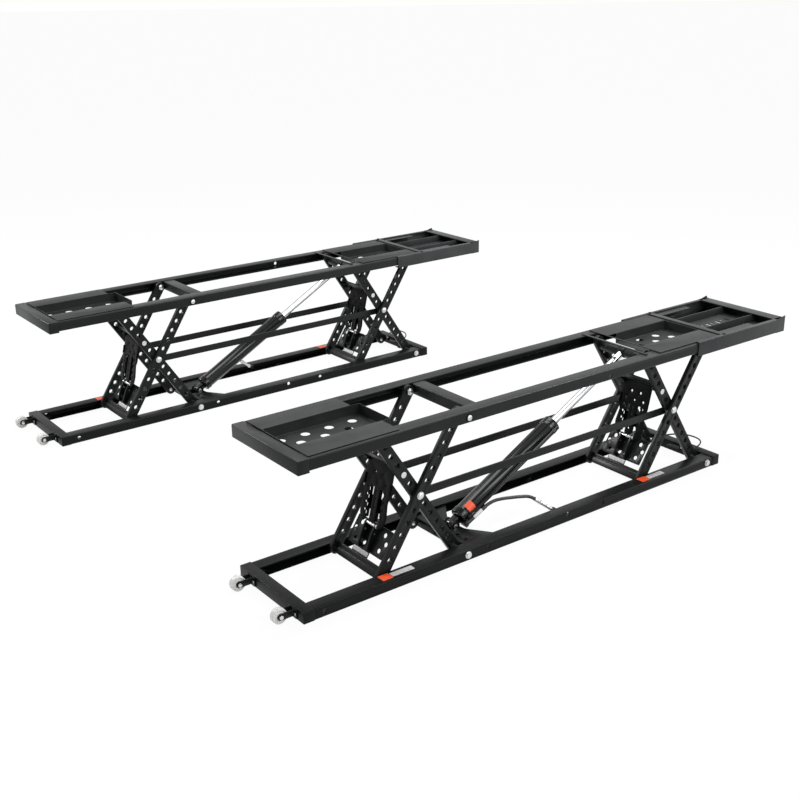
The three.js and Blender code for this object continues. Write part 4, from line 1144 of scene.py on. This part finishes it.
def makeCylinder():
    barrel, length = cylinder["barrel"], cylinder["length"]
    shape = bmesh.new()
    addAxle(shape, 0, 0, cylinder["lugY"], cylinder["lug"], sides=40, rim=1.5)
    addBox(shape, *cylinder["neck"], rim=3, steps=3)
    bands = [(barrel + more, along) for more, along in cylinder["bands"]]
    addAlong(shape, [(0, bands[0][1])] + bands + list(cylinder["mouth"]), steps=64)
    addSidePipe(shape)
    pin = bmesh.new()
    addAxle(pin, 0, 0, cylinder["pinY"], cylinder["pin"], sides=28)
    wiper = bmesh.new()
    addAlong(wiper, cylinder["wiper"])
    patch = bmesh.new()
    addPatchOnRound(patch, barrel + roundPatch["lift"])
    rod = bmesh.new()
    radius, piston = cylinder["rod"], cylinder["pistonRadius"]
    back = length - cylinder["piston"]
    front = back + cylinder["pistonLong"]
    addAlong(rod, [(0, back), (piston, back), (piston, front),
                   (radius, front), (radius, length), (0, length)])
    eye = bmesh.new()
    addAxle(eye, length, 0, (midY - cylinder["eyeHalf"], midY + cylinder["eyeHalf"]), cylinder["eye"],
            sides=48, rim=1.5)
    for item in (shape, pin, wiper, patch, rod, eye):
        turnTo(item, *cylinder["foot"], -cylinder["angle"])
    finishPiece("cylinderBarrel", shape, "glossPaint", "cylinder_barrel", ["cylinder_barrel"])
    finishPiece("cylinderFootPin", pin, "zinc", "cylinder_barrel")
    finishPiece("cylinderWiper", wiper, "hoseRubber", "cylinder_barrel")
    finishPiece("cylinderPatch", patch, "orangePatch", "cylinder_barrel")
    finishPiece("cylinderRod", rod, "chrome", "cylinder_rod", ["cylinder_rod"])
    finishPiece("cylinderEye", eye, "armPaint", "cylinder_rod")


makeCylinder()
print("cylinder made")


# Floor and light
studio = {
    "floorColour": (0.8, 0.8, 0.8), "floorRough": 0.9, "floorSize": 60, "floorDrop": 0.0004,
    "showThrough": 0.95, "white": (1, 1, 1, 1), "world": 0.45, "aim": (0, 0, 0.3),
    "lamps": (
        ("keyLamp", (0.4, -4.6, 2.6), 2.2, 95),
        ("backLamp", (-2.6, 3.9, 3.3), 0.9, 170),
        ("topLamp", (0.6, 0.2, 4.2), 3.0, 150),
        ("sideLamp", (4.2, -2.0, 2.2), 2.0, 60),
        ("edgeLamp", (2.4, -0.85, 3.5), 0.4, 90),
    ),
}


# Rays from the camera, from gloss and through glass see plain white
def seenAsWhite(nodes, links):
    path = nodes.new("ShaderNodeLightPath")
    total = path.outputs["Is Camera Ray"]
    for ray in ("Is Glossy Ray", "Is Transmission Ray"):
        either = nodes.new("ShaderNodeMath")
        either.operation = "MAXIMUM"
        links.new(total, either.inputs[0])
        links.new(path.outputs[ray], either.inputs[1])
        total = either.outputs[0]
    return total


def makeFloor():
    shape = bmesh.new()
    bmesh.ops.create_grid(shape, x_segments=1, y_segments=1, size=studio["floorSize"])
    mesh = bpy.data.meshes.new("floor")
    shape.to_mesh(mesh)
    shape.free()
    floor = bpy.data.objects.new("floor", mesh)
    floor.location = (0, 0, -studio["floorDrop"])
    bpy.context.scene.collection.objects.link(floor)
    material = bpy.data.materials.new("floor")
    material.use_nodes = True
    nodes, links = material.node_tree.nodes, material.node_tree.links
    shader = nodes["Principled BSDF"]
    shader.inputs["Base Color"].default_value = (*studio["floorColour"], 1)
    shader.inputs["Roughness"].default_value = studio["floorRough"]
    shader.inputs["Specular IOR Level"].default_value = 0
    glow = nodes.new("ShaderNodeEmission")
    glow.inputs["Color"].default_value = studio["white"]
    blendIn = nodes.new("ShaderNodeMixShader")
    share = nodes.new("ShaderNodeMath")
    share.operation = "MULTIPLY"
    share.inputs[1].default_value = studio["showThrough"]
    links.new(seenAsWhite(nodes, links), share.inputs[0])
    links.new(share.outputs[0], blendIn.inputs["Fac"])
    links.new(shader.outputs["BSDF"], blendIn.inputs[1])
    links.new(glow.outputs["Emission"], blendIn.inputs[2])
    links.new(blendIn.outputs["Shader"], nodes["Material Output"].inputs["Surface"])
    mesh.materials.append(material)


def makeWorld():
    world = bpy.data.worlds.new("studio")
    bpy.context.scene.world = world
    world.use_nodes = True
    nodes, links = world.node_tree.nodes, world.node_tree.links
    seen = nodes["Background"]
    seen.inputs["Color"].default_value = studio["white"]
    soft = nodes.new("ShaderNodeBackground")
    soft.inputs["Color"].default_value = studio["white"]
    soft.inputs["Strength"].default_value = studio["world"]
    mix = nodes.new("ShaderNodeMixShader")
    links.new(seenAsWhite(nodes, links), mix.inputs["Fac"])
    links.new(soft.outputs["Background"], mix.inputs[1])
    links.new(seen.outputs["Background"], mix.inputs[2])
    links.new(mix.outputs["Shader"], nodes["World Output"].inputs["Surface"])


def makeLamps():
    for name, place, size, power in studio["lamps"]:
        data = bpy.data.lights.new(name, "AREA")
        data.energy, data.size = power, size
        lamp = bpy.data.objects.new(name, data)
        lamp.location = place
        lamp.rotation_euler = (Vector(studio["aim"]) - Vector(place)).to_track_quat("-Z", "Y").to_euler()
        bpy.context.scene.collection.objects.link(lamp)


makeFloor()
makeWorld()
makeLamps()
bpy.context.scene.view_settings.view_transform = "Standard"
print("studio made")
